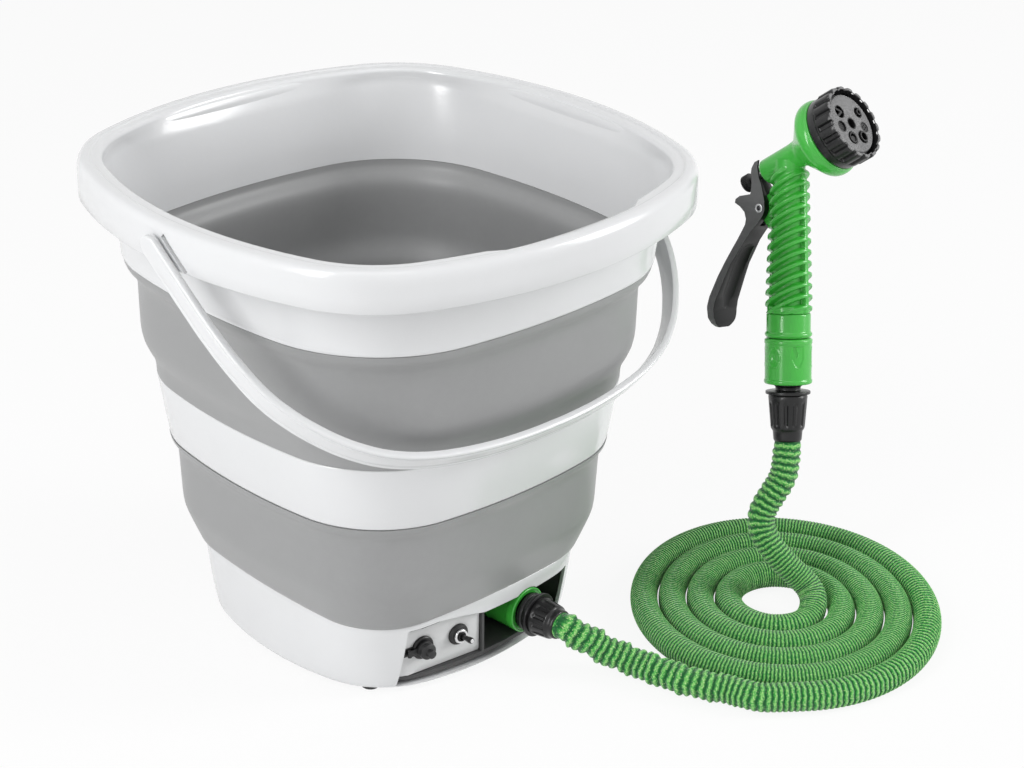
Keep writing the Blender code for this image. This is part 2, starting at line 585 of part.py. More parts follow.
bat = turned("switch_lever", [(0, 0.0136), (0.0016, 0.0132), (0.0022, 0.0120), (0.0013, 0.0010), (0.0011, -0.0012),
                              (0, -0.0016)], black, 14,
             toggle_frame @ Matrix.Translation((0, 0, TOGGLE_PIVOT)) @ Matrix.Rotation(-TOGGLE_TILT, 4, "X"))

# Outlet: the pipe from the pump, the connector's body and its sprung collar
tube("outlet_pipe", 0.0070, 0.0050, -0.0812, -0.0303, dark, 16, outlet_frame)
turned("outlet_body", [(0.0120, -0.0006), (0.0120, -0.0290), (0.0095, -0.0300), (0.0095, -0.0370),
                       (0.0073, -0.0370), (0.0073, -0.0300), (0.0050, -0.0298), (0.0050, -0.0202),
                       (0.0082, -0.0200), (0.0082, -0.0006)], black, 20, outlet_frame)
turned("outlet_collar", [(0.0152, 0.0), (COLLAR_R, -0.0009), (COLLAR_R, -0.0060), (0.0156, -0.0066),
                         (0.0156, -0.0240), (COLLAR_R, -0.0246), (COLLAR_R, -COLLAR_L), (0.0124, -COLLAR_L),
                         (0.0124, 0.0)], green, 24, outlet_frame)
collar_notch = rod("collar_notch", 0.0166, -0.0140, 0.0200, None, 24, outlet_frame, cutter=True)
cut(base_shell, collar_notch)

# Pump: motor, seal, housing, impeller and shaft
pump_at = Matrix.Translation((*PUMP, 0))
turned("pump_motor", [(0.0019, 0.0118), (0.0200, 0.0118), (0.0215, 0.0106), (0.0215, COVER_T + GAP),
                      (0.0019, COVER_T + GAP)], steel, 20, pump_at)
tube("pump_seal", 0.0060, 0.0019, 0.0121, PUMP_LOW - GAP, rubber, 14, pump_at)
housing = turned("pump_housing", [(0.0105, DECK_LOW - GAP), (0.0105, PUMP_TOP), (PUMP_R, PUMP_TOP), (PUMP_R, PUMP_LOW),
                                  (0.0024, PUMP_LOW), (0.0024, 0.0172), (0.0215, 0.0172), (0.0215, 0.0350),
                                  (0.0080, 0.0350), (0.0080, DECK_LOW - GAP)], dark, 24, pump_at)
cut(housing, rod("stub", 0.0095, -0.1120, -0.0735, None, 16, outlet_frame, cutter=True), add=True)
cut(housing, rod("chamber", 0.0215, 0.0172, 0.0350, None, 24, pump_at, cutter=True),
    rod("stub_bore", 0.0050, -0.1080, -0.0700, None, 16, outlet_frame, cutter=True),
    rod("stub_mouth", 0.0073, -0.0815, -0.0700, None, 16, outlet_frame, cutter=True))
impeller = turned("impeller", [(0.0018, 0.0300), (0.0046, 0.0300), (0.0052, 0.0206), (IMPELLER_R, 0.0204),
                               (IMPELLER_R, 0.0186), (0.0018, 0.0186)], dark, 20, pump_at)
for i in range(3):
    for end in (-1, 1):
        vane = block(f"vane_{i}{end}", (0.0038 if end > 0 else -IMPELLER_R, -0.0008, 0.0195),
                     (IMPELLER_R if end > 0 else -0.0038, 0.0008, 0.0290), None,
                     pump_at @ Matrix.Rotation(i * math.pi / 3, 4, "Z"), cutter=True)
        cut(impeller, vane, add=True)
rod("pump_shaft", 0.0015, 0.0060, 0.0305, steel, 12, pump_at)

# Battery: two cells in a cradle, and the control board on its standoffs
CELL_R, CELL_LOW, CELL_Z = 0.0091, 0.0326, 0.0151
CELL_X = (-0.0459, -0.0646)
CELL_Y = 0.0120
cradle = block("battery_cradle", (CELL_X[1] - 0.0112, CELL_Y - 0.0350, COVER_T + GAP),
               (CELL_X[0] + 0.0112, CELL_Y + 0.0350, 0.0130), dark)
cut(cradle, block("cradle_pocket", (CELL_X[1] - CELL_R - GAP, CELL_Y - CELL_LOW - GAP, CELL_Z - CELL_R - GAP),
                  (CELL_X[0] + CELL_R + GAP, CELL_Y + CELL_LOW + GAP, 0.020), None, cutter=True))
for i, x in enumerate(CELL_X):
    turned(f"battery_cell_{i + 1}", [(0, 0.0326), (0.0030, 0.0326), (0.0030, 0.0315), (0.0084, 0.0315),
                                     (CELL_R, 0.0306), (CELL_R, -0.0326), (0, -0.0326)], cell_wrap, 16,
           Matrix.Translation((x, CELL_Y, CELL_Z)) @ Matrix.Rotation(-math.pi / 2, 4, "X"))
board = block("control_board", (BOARD_AT[0] - 0.0230, BOARD_AT[1] - 0.0115, 0.0098 + GAP),
              (BOARD_AT[0] + 0.0230, BOARD_AT[1] + 0.0115, 0.0117), copper_board)
cut(board, block("board_chip", (BOARD_AT[0] - 0.006, BOARD_AT[1] - 0.005, 0.0110),
                 (BOARD_AT[0] + 0.006, BOARD_AT[1] + 0.005, 0.0135), None, cutter=True),
    rod("board_can", 0.0035, 0.0110, 0.0220, None, 12, Matrix.Translation((BOARD_AT[0] + 0.015, BOARD_AT[1], 0)),
        cutter=True), add=True)

# Hose fitting at the bucket: a plug with a flange and a ribbed nut
turned("outlet_plug", [(0.0095, 0.0125), (0.0095, 0.0102), (0.0154, 0.0100), (0.0154, 0.0078), (0.0132, 0.0076),
                       (0.0132, 0.0010), (0.0078, 0.0008), (0.0078, -0.0180), (0.0070, -0.0190),
                       (0.0048, -0.0190), (0.0048, 0.0125)], black, 20, outlet_frame)


def ribbed_nut(name, matrix, low, high, r_low, r_high, bore, turn_up):
    """A tapered nut with soft grooves round it: rings of a fluted outline, bored through."""
    rings = []
    for t in (0.0, 0.06, 0.5, 0.94, 1.0):
        z = low + (high - low) * t
        r = r_low + (r_high - r_low) * t - (0.0008 if t in (0.0, 1.0) else 0.0)
        deep = 0.0 if t in (0.0, 1.0) else 0.0009
        rings.append([((r - deep * (k % 3 == 0)) * math.cos(k * math.tau / 30),
                       (r - deep * (k % 3 == 0)) * math.sin(k * math.tau / 30), z) for k in range(30)])
    made = bridged(name, rings, black, closed=False, smooth=0.5)
    made.matrix_world = matrix
    tool = rod(name + "_bore", bore, low - 0.001, high + 0.001, None, 16, matrix, cutter=True)
    mouth = rod(name + "_mouth", 0.0099, *turn_up, None, 16, matrix, cutter=True)
    return cut(made, tool, mouth)


NUT_END = 0.0290
ribbed_nut("outlet_nut", outlet_frame, 0.0104, NUT_END, 0.0130, 0.0110, 0.0050, (0.0101, 0.0128))

# Hose: the lead from the fitting, the flat coil, and the end that rises to the gun
HOSE_Z = FLOOR + HOSE_D / 2


def coil_point(angle):
    r = COIL_R - COIL_PITCH * (angle - COIL_REF) / math.tau
    r *= 1 + COIL_OVAL * math.cos(angle - COIL_OVAL_AT) ** 2
    return Vector((COIL_X + r * math.cos(angle), COIL_Y + r * math.sin(angle), HOSE_Z))


turns = (COIL_TO - COIL_FROM) / math.tau
angles = np.linspace(COIL_FROM, COIL_TO, int(24 * turns) + 1)
coil = [coil_point(a) for a in angles]
start_way = (coil[0] - coil[1]).normalized()
end_way = (coil[-1] - coil[-2]).normalized()
coil = [coil[0] + start_way * HOSE_D, coil[0] + start_way * HOSE_D / 2, *coil, coil[-1] + end_way * 0.001]
fabric_coil = swept("hose_coil", coil, HOSE_D / 2, fabric, 1)

nut_face = outlet_frame @ Vector((0, 0, NUT_END + GAP))
out_way = (outlet_frame.to_3x3() @ Vector((0, 0, 1))).normalized()
lead_end = coil[0] + start_way * GAP
lead = [nut_face, *smooth_path([nut_face + out_way * 0.0050, (0.0388, -0.1500, 0.0220), (0.0480, -0.1620, 0.0135),
                                (0.0570, -0.1770, 0.0082), (0.0625, -0.1920, HOSE_Z), (0.0665, -0.2080, HOSE_Z),
                                (0.0730, -0.2270, HOSE_Z), (0.0830, -0.2450, HOSE_Z),
                                lead_end + start_way * 0.006], 0.012), lead_end]
swept("hose_lead", lead, HOSE_D / 2, fabric, 2)

up = Vector(GUN_UP).normalized()
right = Vector(VIEW_RIGHT)
right = (right - up * right.dot(up)).normalized()
near = right.cross(up).normalized()
if near.y > 0:
    near = -near
ahead = (right * math.cos(GUN_TURN) + near * math.sin(GUN_TURN)).normalized()
across = up.cross(ahead)
gun_frame = Matrix.Translation((GUN_X, GUN_Y, GUN_Z)) @ Matrix((ahead, across, up)).transposed().to_4x4()
GUN_NUT_LOW = -0.0400
riser_top = gun_frame @ Vector((0, 0, GUN_NUT_LOW - GAP))
rise_from = coil[-1] + end_way * GAP


def inner_turn(degrees, r, z):
    return (COIL_X + r * math.cos(math.radians(degrees)), COIL_Y + r * math.sin(math.radians(degrees)), z)


riser = [rise_from, *smooth_path([rise_from + end_way * 0.0020, inner_turn(272, 0.0276, 0.0070),
                                  inner_turn(296, 0.0256, 0.0110), (0.2075, -0.2108, 0.0160), (0.2064, -0.2030, 0.0225),
                                  (0.2010, -0.1940, 0.0310), (0.1958, -0.1835, 0.0420), (0.1928, -0.1735, 0.0550),
                                  (0.1952, -0.1698, 0.0670), (0.2022, -0.1722, 0.0795), (0.2100, -0.1752, 0.0925),
                                  riser_top - up * 0.0050], 0.009), riser_top]
swept("hose_riser", riser, HOSE_D / 2, fabric, 2)

# Hose fitting at the gun
turned("gun_plug", [(0.0070, 0.0180), (0.0078, 0.0170), (0.0078, -0.0010), (0.0085, -0.0030), (0.0155, -0.0036),
                    (0.0155, -0.0074), (0.0095, -0.0077), (0.0095, -0.0100), (0.0048, -0.0100), (0.0048, 0.0180)],
       black, 20, gun_frame)
ribbed_nut("gun_nut", gun_frame, GUN_NUT_LOW, -0.0080, 0.0108, 0.0132, 0.0050, (-0.0104, -0.0070))

# Gun: the connector's sprung collar and core, and the coupling above them
turned("gun_collar", [(0.0150, 0.0315), (0.0166, 0.0306), (0.0166, 0.0290), (0.0161, 0.0280), (0.0161, 0.0035),
                      (0.0166, 0.0026), (0.0166, 0.0008), (0.0158, 0.0), (0.0124, 0.0), (0.0124, 0.0315)],
       green, 20, gun_frame)
turned("gun_core", [(0.0120, 0.0317), (0.0120, 0.0006), (0.0082, 0.0006), (0.0082, 0.0195), (0.0050, 0.0198),
                    (0.0050, 0.0317)], black, 20, gun_frame)
turned("gun_coupling", [(0.0148, 0.0485), (0.01525, 0.0479), (0.01525, 0.0352), (0.0161, 0.0345), (0.0161, 0.0328),
                        (0.0154, 0.0320), (0.0050, 0.0320), (0.0050, 0.0485)], green, 24, gun_frame)

# Gun body: ribbed grip, neck and bulb, with the trigger's lug behind and a bore for the rod
head_frame = gun_frame @ Matrix.Translation((0, 0, HEAD_Z)) @ Matrix.Rotation(math.pi / 2 - HEAD_TILT, 4, "Y")
grip = [(0.0, HEAD_Z), (0.0100, HEAD_Z), (0.0112, 0.1480)]
for i in range(RIBS):
    t = i / (RIBS - 1)
    z = 0.1440 - i * RIB_PITCH
    core, rib = 0.0110 + 0.0014 * t, 0.0130 + 0.0029 * t
    grip += [(core, z + 0.0026), (rib, z + 0.0008), (rib, z - 0.0012)]
grip += [(0.0138, 0.0550), (0.0149, 0.0540), (0.0149, 0.0488), (0.0, 0.0488)]
gun_body = turned("gun_body", grip, green, 14, gun_frame)
head = turned("gun_head", [(0.0, DIAL_BACK - 0.0004), (0.0262, DIAL_BACK - 0.0004), (0.0272, 0.0355), (0.0275, 0.0320),
                           (0.0265, 0.0285), (0.0205, 0.0225), (0.0145, 0.0165), (0.0102, 0.0120), (0.0092, 0.0050),
                           (0.0090, -0.0202), (0.0078, -0.0218), (0.0, -0.0218)], None, 24, head_frame, cutter=True)
lug = plate("gun_lug", ((-0.0240, 0.1172), (-0.0225, 0.1247), (-0.0185, 0.1275), (-0.0080, 0.1370),
                        (-0.0080, 0.1040), (-0.0150, 0.1060), (-0.0210, 0.1132)), -LUG_W / 2, LUG_W / 2, None,
            gun_frame @ Matrix.Rotation(math.pi / 2, 4, "X"), cutter=True)
trigger_frame = gun_frame @ Matrix.Translation((LEVER_X, 0, LEVER_Z)) @ Matrix.Rotation(math.pi / 2, 4, "X")
cut(gun_body, head, lug, add=True)
cut(gun_body, rod("rod_bore", 0.0029, -0.030, 0.0270, None, 14, head_frame, cutter=True),
    rod("water_bore", 0.0045, 0.0450, HEAD_Z, None, 14, gun_frame, cutter=True),
    rod("head_bore", 0.0045, -0.0015, 0.0400, None, 14, head_frame, cutter=True),
    rod("lug_bore", 0.0024, -0.010, 0.010, None, 12, trigger_frame, cutter=True))

# Spray dial: a bare ring, a fluted rim and the face with its six outlets
FACE_BACK, FACE_TOP = DIAL_STEP - 0.0008, DIAL_FRONT - 0.0028
dial = fluted("spray_dial", DIAL_R, 0.0020, LUGS, 0.50, DIAL_STEP, DIAL_FRONT, black, head_frame)
cut(dial, rod("dial_ring", 0.0257, DIAL_BACK, DIAL_STEP + 0.0004, None, 28, head_frame, cutter=True), add=True)
cut(dial, rod("dial_hollow", FACE_R + GAP, FACE_BACK - GAP, DIAL_FRONT + 0.0080, None, 28, head_frame, cutter=True),
    rod("dial_seat", 0.0215, DIAL_BACK - 0.0014, DIAL_STEP, None, 28, head_frame, cutter=True))
OUTLETS = ((0.0048, -135, 0.0122), (0.0042, -81, 0.0121), (0.0048, -24, 0.0114), (0.0048, 35, 0.0124),
           (0.0039, 77, 0.0134), (0.0040, 123, 0.0143))  # radius, place round the face, distance from its middle
face = turned("dial_face", [(0, FACE_TOP), (0.0212, FACE_TOP), (0.0218, FACE_TOP - 0.0036), (FACE_R, FACE_TOP - 0.0056),
                            (FACE_R, FACE_BACK), (0, FACE_BACK)], dark, 28, head_frame)
for i, (r, at, out) in enumerate(OUTLETS):
    spot = head_frame @ Matrix.Rotation(math.radians(at), 4, "Z") @ Matrix.Translation((out, 0, 0))
    cut(face, rod(f"outlet_{i}", r, FACE_BACK - 0.0030, FACE_TOP + 0.0060, None, 12, spot, cutter=True))
cut(face, rod("face_centre", 0.0044, FACE_BACK - 0.0030, FACE_TOP + 0.0060, None, 14, head_frame, cutter=True))
turned("dial_screw", [(0, FACE_TOP - 0.0030), (0.0040, FACE_TOP - 0.0034), (0.0040, FACE_TOP - 0.0055),
                      (0.0022, FACE_TOP - 0.0055), (0.0022, DIAL_BACK), (0, DIAL_BACK)], steel, 14, head_frame)

# Trigger lever, a fork over the lug that also straddles the valve rod: its outline from the side and its
# half width from the front, with the fingers' hollow in the paddle
LEVER = ((-0.0232, 0.1530), (-0.0238, 0.1482), (-0.0223, 0.1404), (-0.0176, 0.1310), (-0.0150, 0.1248),
         (-0.0147, 0.1193), (-0.0161, 0.1154), (-0.0199, 0.1105), (-0.0257, 0.1048), (-0.0316, 0.0974),
         (-0.0367, 0.0893), (-0.0420, 0.0810), (-0.0464, 0.0712), (-0.0506, 0.0613), (-0.0538, 0.0538),
         (-0.0549, 0.0480), (-0.0546, 0.0405), (-0.0556, 0.0355), (-0.0580, 0.0362), (-0.0600, 0.0420),
         (-0.0602, 0.0510), (-0.0586, 0.0576), (-0.0525, 0.0717), (-0.0463, 0.0832), (-0.0401, 0.0939),
         (-0.0346, 0.1029), (-0.0312, 0.1086), (-0.0304, 0.1125), (-0.0318, 0.1173), (-0.0357, 0.1211),
         (-0.0399, 0.1234), (-0.0398, 0.1260), (-0.0368, 0.1282), (-0.0280, 0.1296), (-0.0278, 0.1310),
         (-0.0292, 0.1438), (-0.0287, 0.1474), (-0.0263, 0.1515))
LEVER_HALF = ((0.0350, 0.0030), (0.0358, 0.0065), (0.0385, 0.0105), (0.0430, 0.0130), (0.0490, 0.0138),
              (0.0560, 0.0134), (0.0720, 0.0119), (0.0820, 0.0110), (0.0900, 0.0101), (0.0974, 0.0092),
              (0.1050, LEVER_W / 2), (0.1240, LEVER_W / 2), (0.1310, 0.0072), (0.1370, 0.0054), (0.1560, 0.0052))
side_on = gun_frame @ Matrix.Rotation(math.pi / 2, 4, "X")
front_on = gun_frame @ Matrix(((0, 0, 1), (1, 0, 0), (0, 1, 0))).to_4x4()
lever = plate("trigger_lever", LEVER, -0.0145, 0.0145, dark, side_on, smooth=0.7)
front = [(half, z) for z, half in LEVER_HALF] + [(-half, z) for z, half in reversed(LEVER_HALF)]
keep_inside(lever, plate("lever_front", front, -0.0700, 0.0, None, front_on, cutter=True))
hollow = turned("finger_hollow", [(0, 0.0300), (0.0075, 0.0285), (0.0120, 0.0240), (0.0140, 0.0150), (0.0140, -0.0150),
                                  (0.0120, -0.0240), (0.0075, -0.0285), (0, -0.0300)], None, 20,
                gun_frame @ Matrix.Translation((-0.0352, 0, 0.0665)) @ Matrix.Rotation(math.radians(21.8), 4, "Y"),
                cutter=True)
cut(lever, plate("fork_slot", ((-0.0262, 0.1095), (-0.0100, 0.1000), (-0.0100, 0.1620), (-0.0600, 0.1620),
                               (-0.0600, 0.1345), (-0.0272, 0.1290)), -LUG_W / 2 - RUNNING, LUG_W / 2 + RUNNING,
                 None, side_on, cutter=True),
    rod("knob_room", 0.0088, -0.0600, -0.0348, None, 24, head_frame, cutter=True),
    rod("lever_bore", 0.0024, -0.020, 0.020, None, 12, trigger_frame, cutter=True), hollow)
hinged(lever, gun_frame @ Vector((LEVER_X, 0, LEVER_Z)))
turned("trigger_pin", [(0, 0.0096), (0.0030, 0.0096), (0.0032, 0.0092), (0.0021, 0.0092), (0.0021, -0.0092),
                       (0.0032, -0.0092), (0.0030, -0.0096), (0, -0.0096)], steel, 14, trigger_frame)

# Valve rod and the flow knob on its tail
rod("valve_rod", 0.0025, -0.0346, 0.0240, steel, 14, head_frame)
knob = fluted("flow_knob", 0.0061, 0.0005, 16, 0.5, -0.0414, -0.0354, dark, head_frame)
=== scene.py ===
import math

import bmesh
import bpy
import numpy as np
from mathutils import Matrix, Vector


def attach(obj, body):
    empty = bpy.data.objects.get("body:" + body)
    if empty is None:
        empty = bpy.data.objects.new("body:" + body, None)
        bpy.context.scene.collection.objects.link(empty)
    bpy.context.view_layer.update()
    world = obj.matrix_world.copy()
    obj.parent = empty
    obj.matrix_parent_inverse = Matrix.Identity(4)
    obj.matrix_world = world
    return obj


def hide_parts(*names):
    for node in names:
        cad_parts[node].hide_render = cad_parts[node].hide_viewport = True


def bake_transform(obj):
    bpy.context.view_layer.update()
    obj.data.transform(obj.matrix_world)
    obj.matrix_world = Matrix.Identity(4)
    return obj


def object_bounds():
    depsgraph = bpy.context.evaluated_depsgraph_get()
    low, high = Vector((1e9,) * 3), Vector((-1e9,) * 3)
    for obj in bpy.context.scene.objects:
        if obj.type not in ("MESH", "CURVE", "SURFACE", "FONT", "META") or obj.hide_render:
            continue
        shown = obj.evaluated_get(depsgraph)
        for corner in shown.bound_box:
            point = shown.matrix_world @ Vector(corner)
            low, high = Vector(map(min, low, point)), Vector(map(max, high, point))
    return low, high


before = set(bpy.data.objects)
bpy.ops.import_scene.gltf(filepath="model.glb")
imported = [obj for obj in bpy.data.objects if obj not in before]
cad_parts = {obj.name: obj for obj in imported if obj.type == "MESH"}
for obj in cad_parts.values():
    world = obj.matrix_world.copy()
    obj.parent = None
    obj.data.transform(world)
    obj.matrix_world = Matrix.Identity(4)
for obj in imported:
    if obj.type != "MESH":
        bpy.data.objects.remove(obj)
cad_low, cad_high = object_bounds()

# Camera. It stands where the photograph was taken from: in front of one corner of the bucket,
# 1.6 metres away and looking down by 25 degrees, with a long lens.
CAMERA_AT = (-0.92032, -1.05951, 0.83208)
CAMERA_ROUND = math.radians(-134.3573)
CAMERA_ABOVE = math.radians(25.3310)
CAMERA_ROLL = math.radians(1.3231)
LENS_MM = 81.194
SENSOR_MM = 36

towards = Vector((math.cos(CAMERA_ROUND) * math.cos(CAMERA_ABOVE),
                  math.sin(CAMERA_ROUND) * math.cos(CAMERA_ABOVE), math.sin(CAMERA_ABOVE)))
level_right = Vector((-math.sin(CAMERA_ROUND), math.cos(CAMERA_ROUND), 0))
level_up = level_right.cross(-towards)
camera_right = level_right * math.cos(CAMERA_ROLL) + level_up * math.sin(CAMERA_ROLL)
camera_up = level_up * math.cos(CAMERA_ROLL) - level_right * math.sin(CAMERA_ROLL)
lens = bpy.data.cameras.new("camera")
lens.lens = LENS_MM
lens.sensor_width = SENSOR_MM
camera = bpy.data.objects.new("camera", lens)
camera.matrix_world = (Matrix.Translation(CAMERA_AT)
                       @ Matrix((camera_right, camera_up, towards)).transposed().to_4x4())
bpy.context.scene.collection.objects.link(camera)
bpy.context.scene.camera = camera


# Studio. A pale floor that keeps the shadow, a white background and three soft boxes: a tall one on
# the left whose streak shows on round pieces, a wider one on the far right, and a broad one overhead.
FLOOR_Z = cad_low.z
FLOOR_SIZE = 8.0
FLOOR_TONE = (0.84, 0.84, 0.84, 1)
FLOOR_GLOW = 0.90
SKY_LIGHT = 0.39
WHITE = (1.0, 1.0, 1.0, 1)


class Number:
    """A number inside a shader. Arithmetic on it adds Math nodes."""

    def __init__(self, finish, socket):
        self.finish = finish
        self.socket = socket

    def math(self, operation, *others):
        sockets = dict(enumerate((self, *others)))
        return self.finish.node("ShaderNodeMath", {"operation": operation}, sockets)

    def __add__(self, other):
        return self.math("ADD", other)

    __radd__ = __add__

    def __sub__(self, other):
        return self.math("SUBTRACT", other)

    def __rsub__(self, other):
        return self.math("MULTIPLY_ADD", -1.0, other)

    def __mul__(self, other):
        return self.math("MULTIPLY", other)

    __rmul__ = __mul__

    def __pow__(self, other):
        return self.math("POWER", other)

    def sine(self):
        return self.math("SINE")

    def wave(self):
        """A sine moved to between 0 and 1."""
        return self.sine() * 0.5 + 0.5

    def larger(self, other):
        return self.math("MAXIMUM", other)

    def ramp(self, low, high):
        """0 below low, 1 above high, and smooth between."""
        return self.finish.node("ShaderNodeMapRange", {"interpolation_type": "SMOOTHSTEP"},
                                {"Value": self, "From Min": low, "From Max": high})


class Finish:
    """A material being built round its Principled shader."""

    def __init__(self, name, tree=None, **fixed):
        if tree is None:
            self.material = bpy.data.materials.new(name)
            self.material.use_nodes = True
            tree = self.material.node_tree
        self.tree = tree
        self.shader = tree.nodes.get("Principled BSDF")
        self.set(**fixed)

    def set(self, **sockets):
        """Feeds the shader's sockets, named with _ for a space."""
        for name, value in sockets.items():
            self.feed(self.shader.inputs[name.replace("_", " ")], value)

    def feed(self, socket, value):
        if isinstance(value, Number):
            self.tree.links.new(value.socket, socket)
        else:
            socket.default_value = value

    def node(self, kind, settings, sockets, output=0):
        """Any node: its settings first, then its sockets, and one of its outputs comes back."""
        made = self.tree.nodes.new(kind)
        for name, value in settings.items():
            setattr(made, name, value)
        for key, value in sockets.items():
            self.feed(made.inputs[key], value)
        return Number(self, made.outputs[output])

    def mix(self, share, first, second):
        """Two colours mixed."""
        return self.node("ShaderNodeMix", {"data_type": "RGBA"}, {0: share, 6: first, 7: second}, 2)

    def where(self):
        """The point on the object, in metres."""
        return self.node("ShaderNodeTexCoord", {}, {}, "Object")

    def noise(self, scale, detail, at=None, rough=0.5):
        sockets = {"Vector": at or self.where(), "Scale": scale, "Detail": detail, "Roughness": rough}
        return self.node("ShaderNodeTexNoise", {}, sockets)

    def bump(self, height, depth, strength):
        """A surface raised by height (0 to 1) times depth in metres."""
        return self.node("ShaderNodeBump", {}, {"Height": height, "Distance": depth, "Strength": strength})


def shown_behind(finish, plain, bright, share):
    """What the camera and reflections see is mixed with the bright shader; the rest gets the plain one."""
    seen = finish.node("ShaderNodeLightPath", {}, {}, "Is Camera Ray")
    for other in ("Is Glossy Ray", "Is Transmission Ray"):
        seen = seen.larger(finish.node("ShaderNodeLightPath", {}, {}, other))
    return finish.node("ShaderNodeMixShader", {}, {0: seen * share, 1: plain, 2: bright})


floor_finish = Finish("floor_white", Base_Color=FLOOR_TONE, Roughness=0.9)
glow = floor_finish.node("ShaderNodeEmission", {}, {"Color": WHITE, "Strength": 1.0})
matt = Number(floor_finish, floor_finish.shader.outputs[0])
floor_finish.feed(floor_finish.tree.nodes["Material Output"].inputs["Surface"],
                  shown_behind(floor_finish, matt, glow, FLOOR_GLOW))
half = FLOOR_SIZE / 2
corners = [(x * half, y * half, FLOOR_Z) for x, y in ((-1, -1), (1, -1), (1, 1), (-1, 1))]
floor_mesh = bpy.data.meshes.new("floor")
floor_mesh.from_pydata(corners, [], [(0, 1, 2, 3)])
floor_mesh.materials.append(floor_finish.material)
floor = bpy.data.objects.new("floor", floor_mesh)
bpy.context.scene.collection.objects.link(floor)

world = bpy.data.worlds.new("studio")
world.use_nodes = True
bpy.context.scene.world = world
sky = Finish("studio", world.node_tree)
dim = sky.node("ShaderNodeBackground", {}, {"Color": WHITE, "Strength": SKY_LIGHT})
bright = sky.node("ShaderNodeBackground", {}, {"Color": WHITE, "Strength": 1.0})
sky.feed(world.node_tree.nodes["World Output"].inputs["Surface"], shown_behind(sky, dim, bright, 1.0))
bpy.context.scene.view_settings.view_transform = "Standard"

AIM = Vector((0.05, -0.05, 0.16))


def soft_box(name, degrees_from_camera, above, away, width, height, watts):
    """A soft box beside the camera's direction, turned towards the object."""
    turn = CAMERA_ROUND + math.radians(degrees_from_camera)
    rise = math.radians(above)
    way = Vector((math.cos(turn) * math.cos(rise), math.sin(turn) * math.cos(rise), math.sin(rise)))
    lamp = bpy.data.lights.new(name, "AREA")
    lamp.shape = "RECTANGLE"
    lamp.size = width
    lamp.size_y = height
    lamp.energy = watts
    box = bpy.data.objects.new(name, lamp)
    box.matrix_world = Matrix.Translation(AIM + way * away) @ way.to_track_quat("Z", "Y").to_matrix().to_4x4()
    bpy.context.scene.collection.objects.link(box)


soft_box("key", -42, 28, 2.2, 0.5, 1.6, 28)
soft_box("far_side", 92, 22, 2.4, 0.7, 1.5, 35)
soft_box("overhead", -10, 78, 2.4, 1.6, 1.6, 9)


# Hose. A stretch hose in a knitted sleeve of two greens, partly its yarns and partly painted shade in the
# grooves and painted light on the crests: at rest the sleeve stands in fine ribs across the hose, and near
# both fittings it bunches up. It runs from the bucket to a flat coil and rises to the gun.
HOSE_D = 0.0190
HOSE_Z = FLOOR_Z + HOSE_D / 2
OUTLET_AT = (0.031, -0.107, 0.0262)
OUTLET_TURN = math.radians(5)
OUTLET_NUT_END = 0.0290
COIL_AT = (0.1898, -0.1946)
COIL_R = 0.1031
COIL_PITCH = 0.01965
COIL_OVAL = 0.09
COIL_OVAL_AT = math.radians(38)
COIL_REF = math.radians(315.6)
COIL_FROM, COIL_TO = math.radians(226), math.radians(1694)
COIL_POINTS = 420
GUN_AT = (0.2246, -0.1610, 0.1547)
GUN_UP = (0.1996, 0.2448, 0.9490)
GUN_RIGHT = (0.715, -0.699, 0.0)
GUN_TURN = math.radians(42.5)
GUN_NUT_END = -0.0400
TOUCH = 0.0003
LEAD_ROUTE = ((0.0388, -0.1500, 0.0220), (0.0480, -0.1620, 0.0135), (0.0570, -0.1770, 0.0082),
              (0.0625, -0.1920, HOSE_Z), (0.0665, -0.2080, HOSE_Z), (0.0730, -0.2270, HOSE_Z),
              (0.0830, -0.2450, HOSE_Z))
RISER_TURNS = ((272, 0.0276, 0.0070), (296, 0.0256, 0.0110))
RISER_ROUTE = ((0.2075, -0.2108, 0.0160), (0.2064, -0.2030, 0.0225), (0.2010, -0.1940, 0.0310),
               (0.1958, -0.1835, 0.0420), (0.1928, -0.1735, 0.0550), (0.1952, -0.1698, 0.0670),
               (0.2022, -0.1722, 0.0795), (0.2100, -0.1752, 0.0925))
STRAIGHT_END = 0.0050
ROUTE_STEP = 0.002
SMOOTHINGS = 14
QUARTER = math.pi / 2


def moved(x, y, z):
    return Matrix.Translation((x, y, z))


def spun(angle, axis):
    return Matrix.Rotation(angle, 4, axis)


outlet_frame = moved(*OUTLET_AT) @ spun(OUTLET_TURN, "Z") @ spun(QUARTER, "X")
gun_up = Vector(GUN_UP).normalized()
gun_right = Vector(GUN_RIGHT)
gun_right = (gun_right - gun_up * gun_right.dot(gun_up)).normalized()
gun_near = gun_right.cross(gun_up).normalized()
gun_ahead = (gun_right * math.cos(GUN_TURN) + gun_near * math.sin(GUN_TURN)).normalized()
gun_frame = moved(*GUN_AT) @ Matrix((gun_ahead, gun_up.cross(gun_ahead), gun_up)).transposed().to_4x4()


def smooth_path(points, step):
    """Points every step or so along a smooth line through the given ones."""
    points = [Vector(p) for p in points]
    ends = [2 * points[0] - points[1], *points, 2 * points[-1] - points[-2]]
    line = []
    for i in range(1, len(ends) - 2):
        a, b, c, d = ends[i - 1:i + 3]
        parts = max(1, round((c - b).length / step))
        for s in range(parts):
            t = s / parts
            line.append(0.5 * (2 * b + (c - a) * t + (2 * a - 5 * b + 4 * c - d) * t * t
                               + (3 * b - a - 3 * c + d) * t ** 3))
    return [*line, points[-1]]


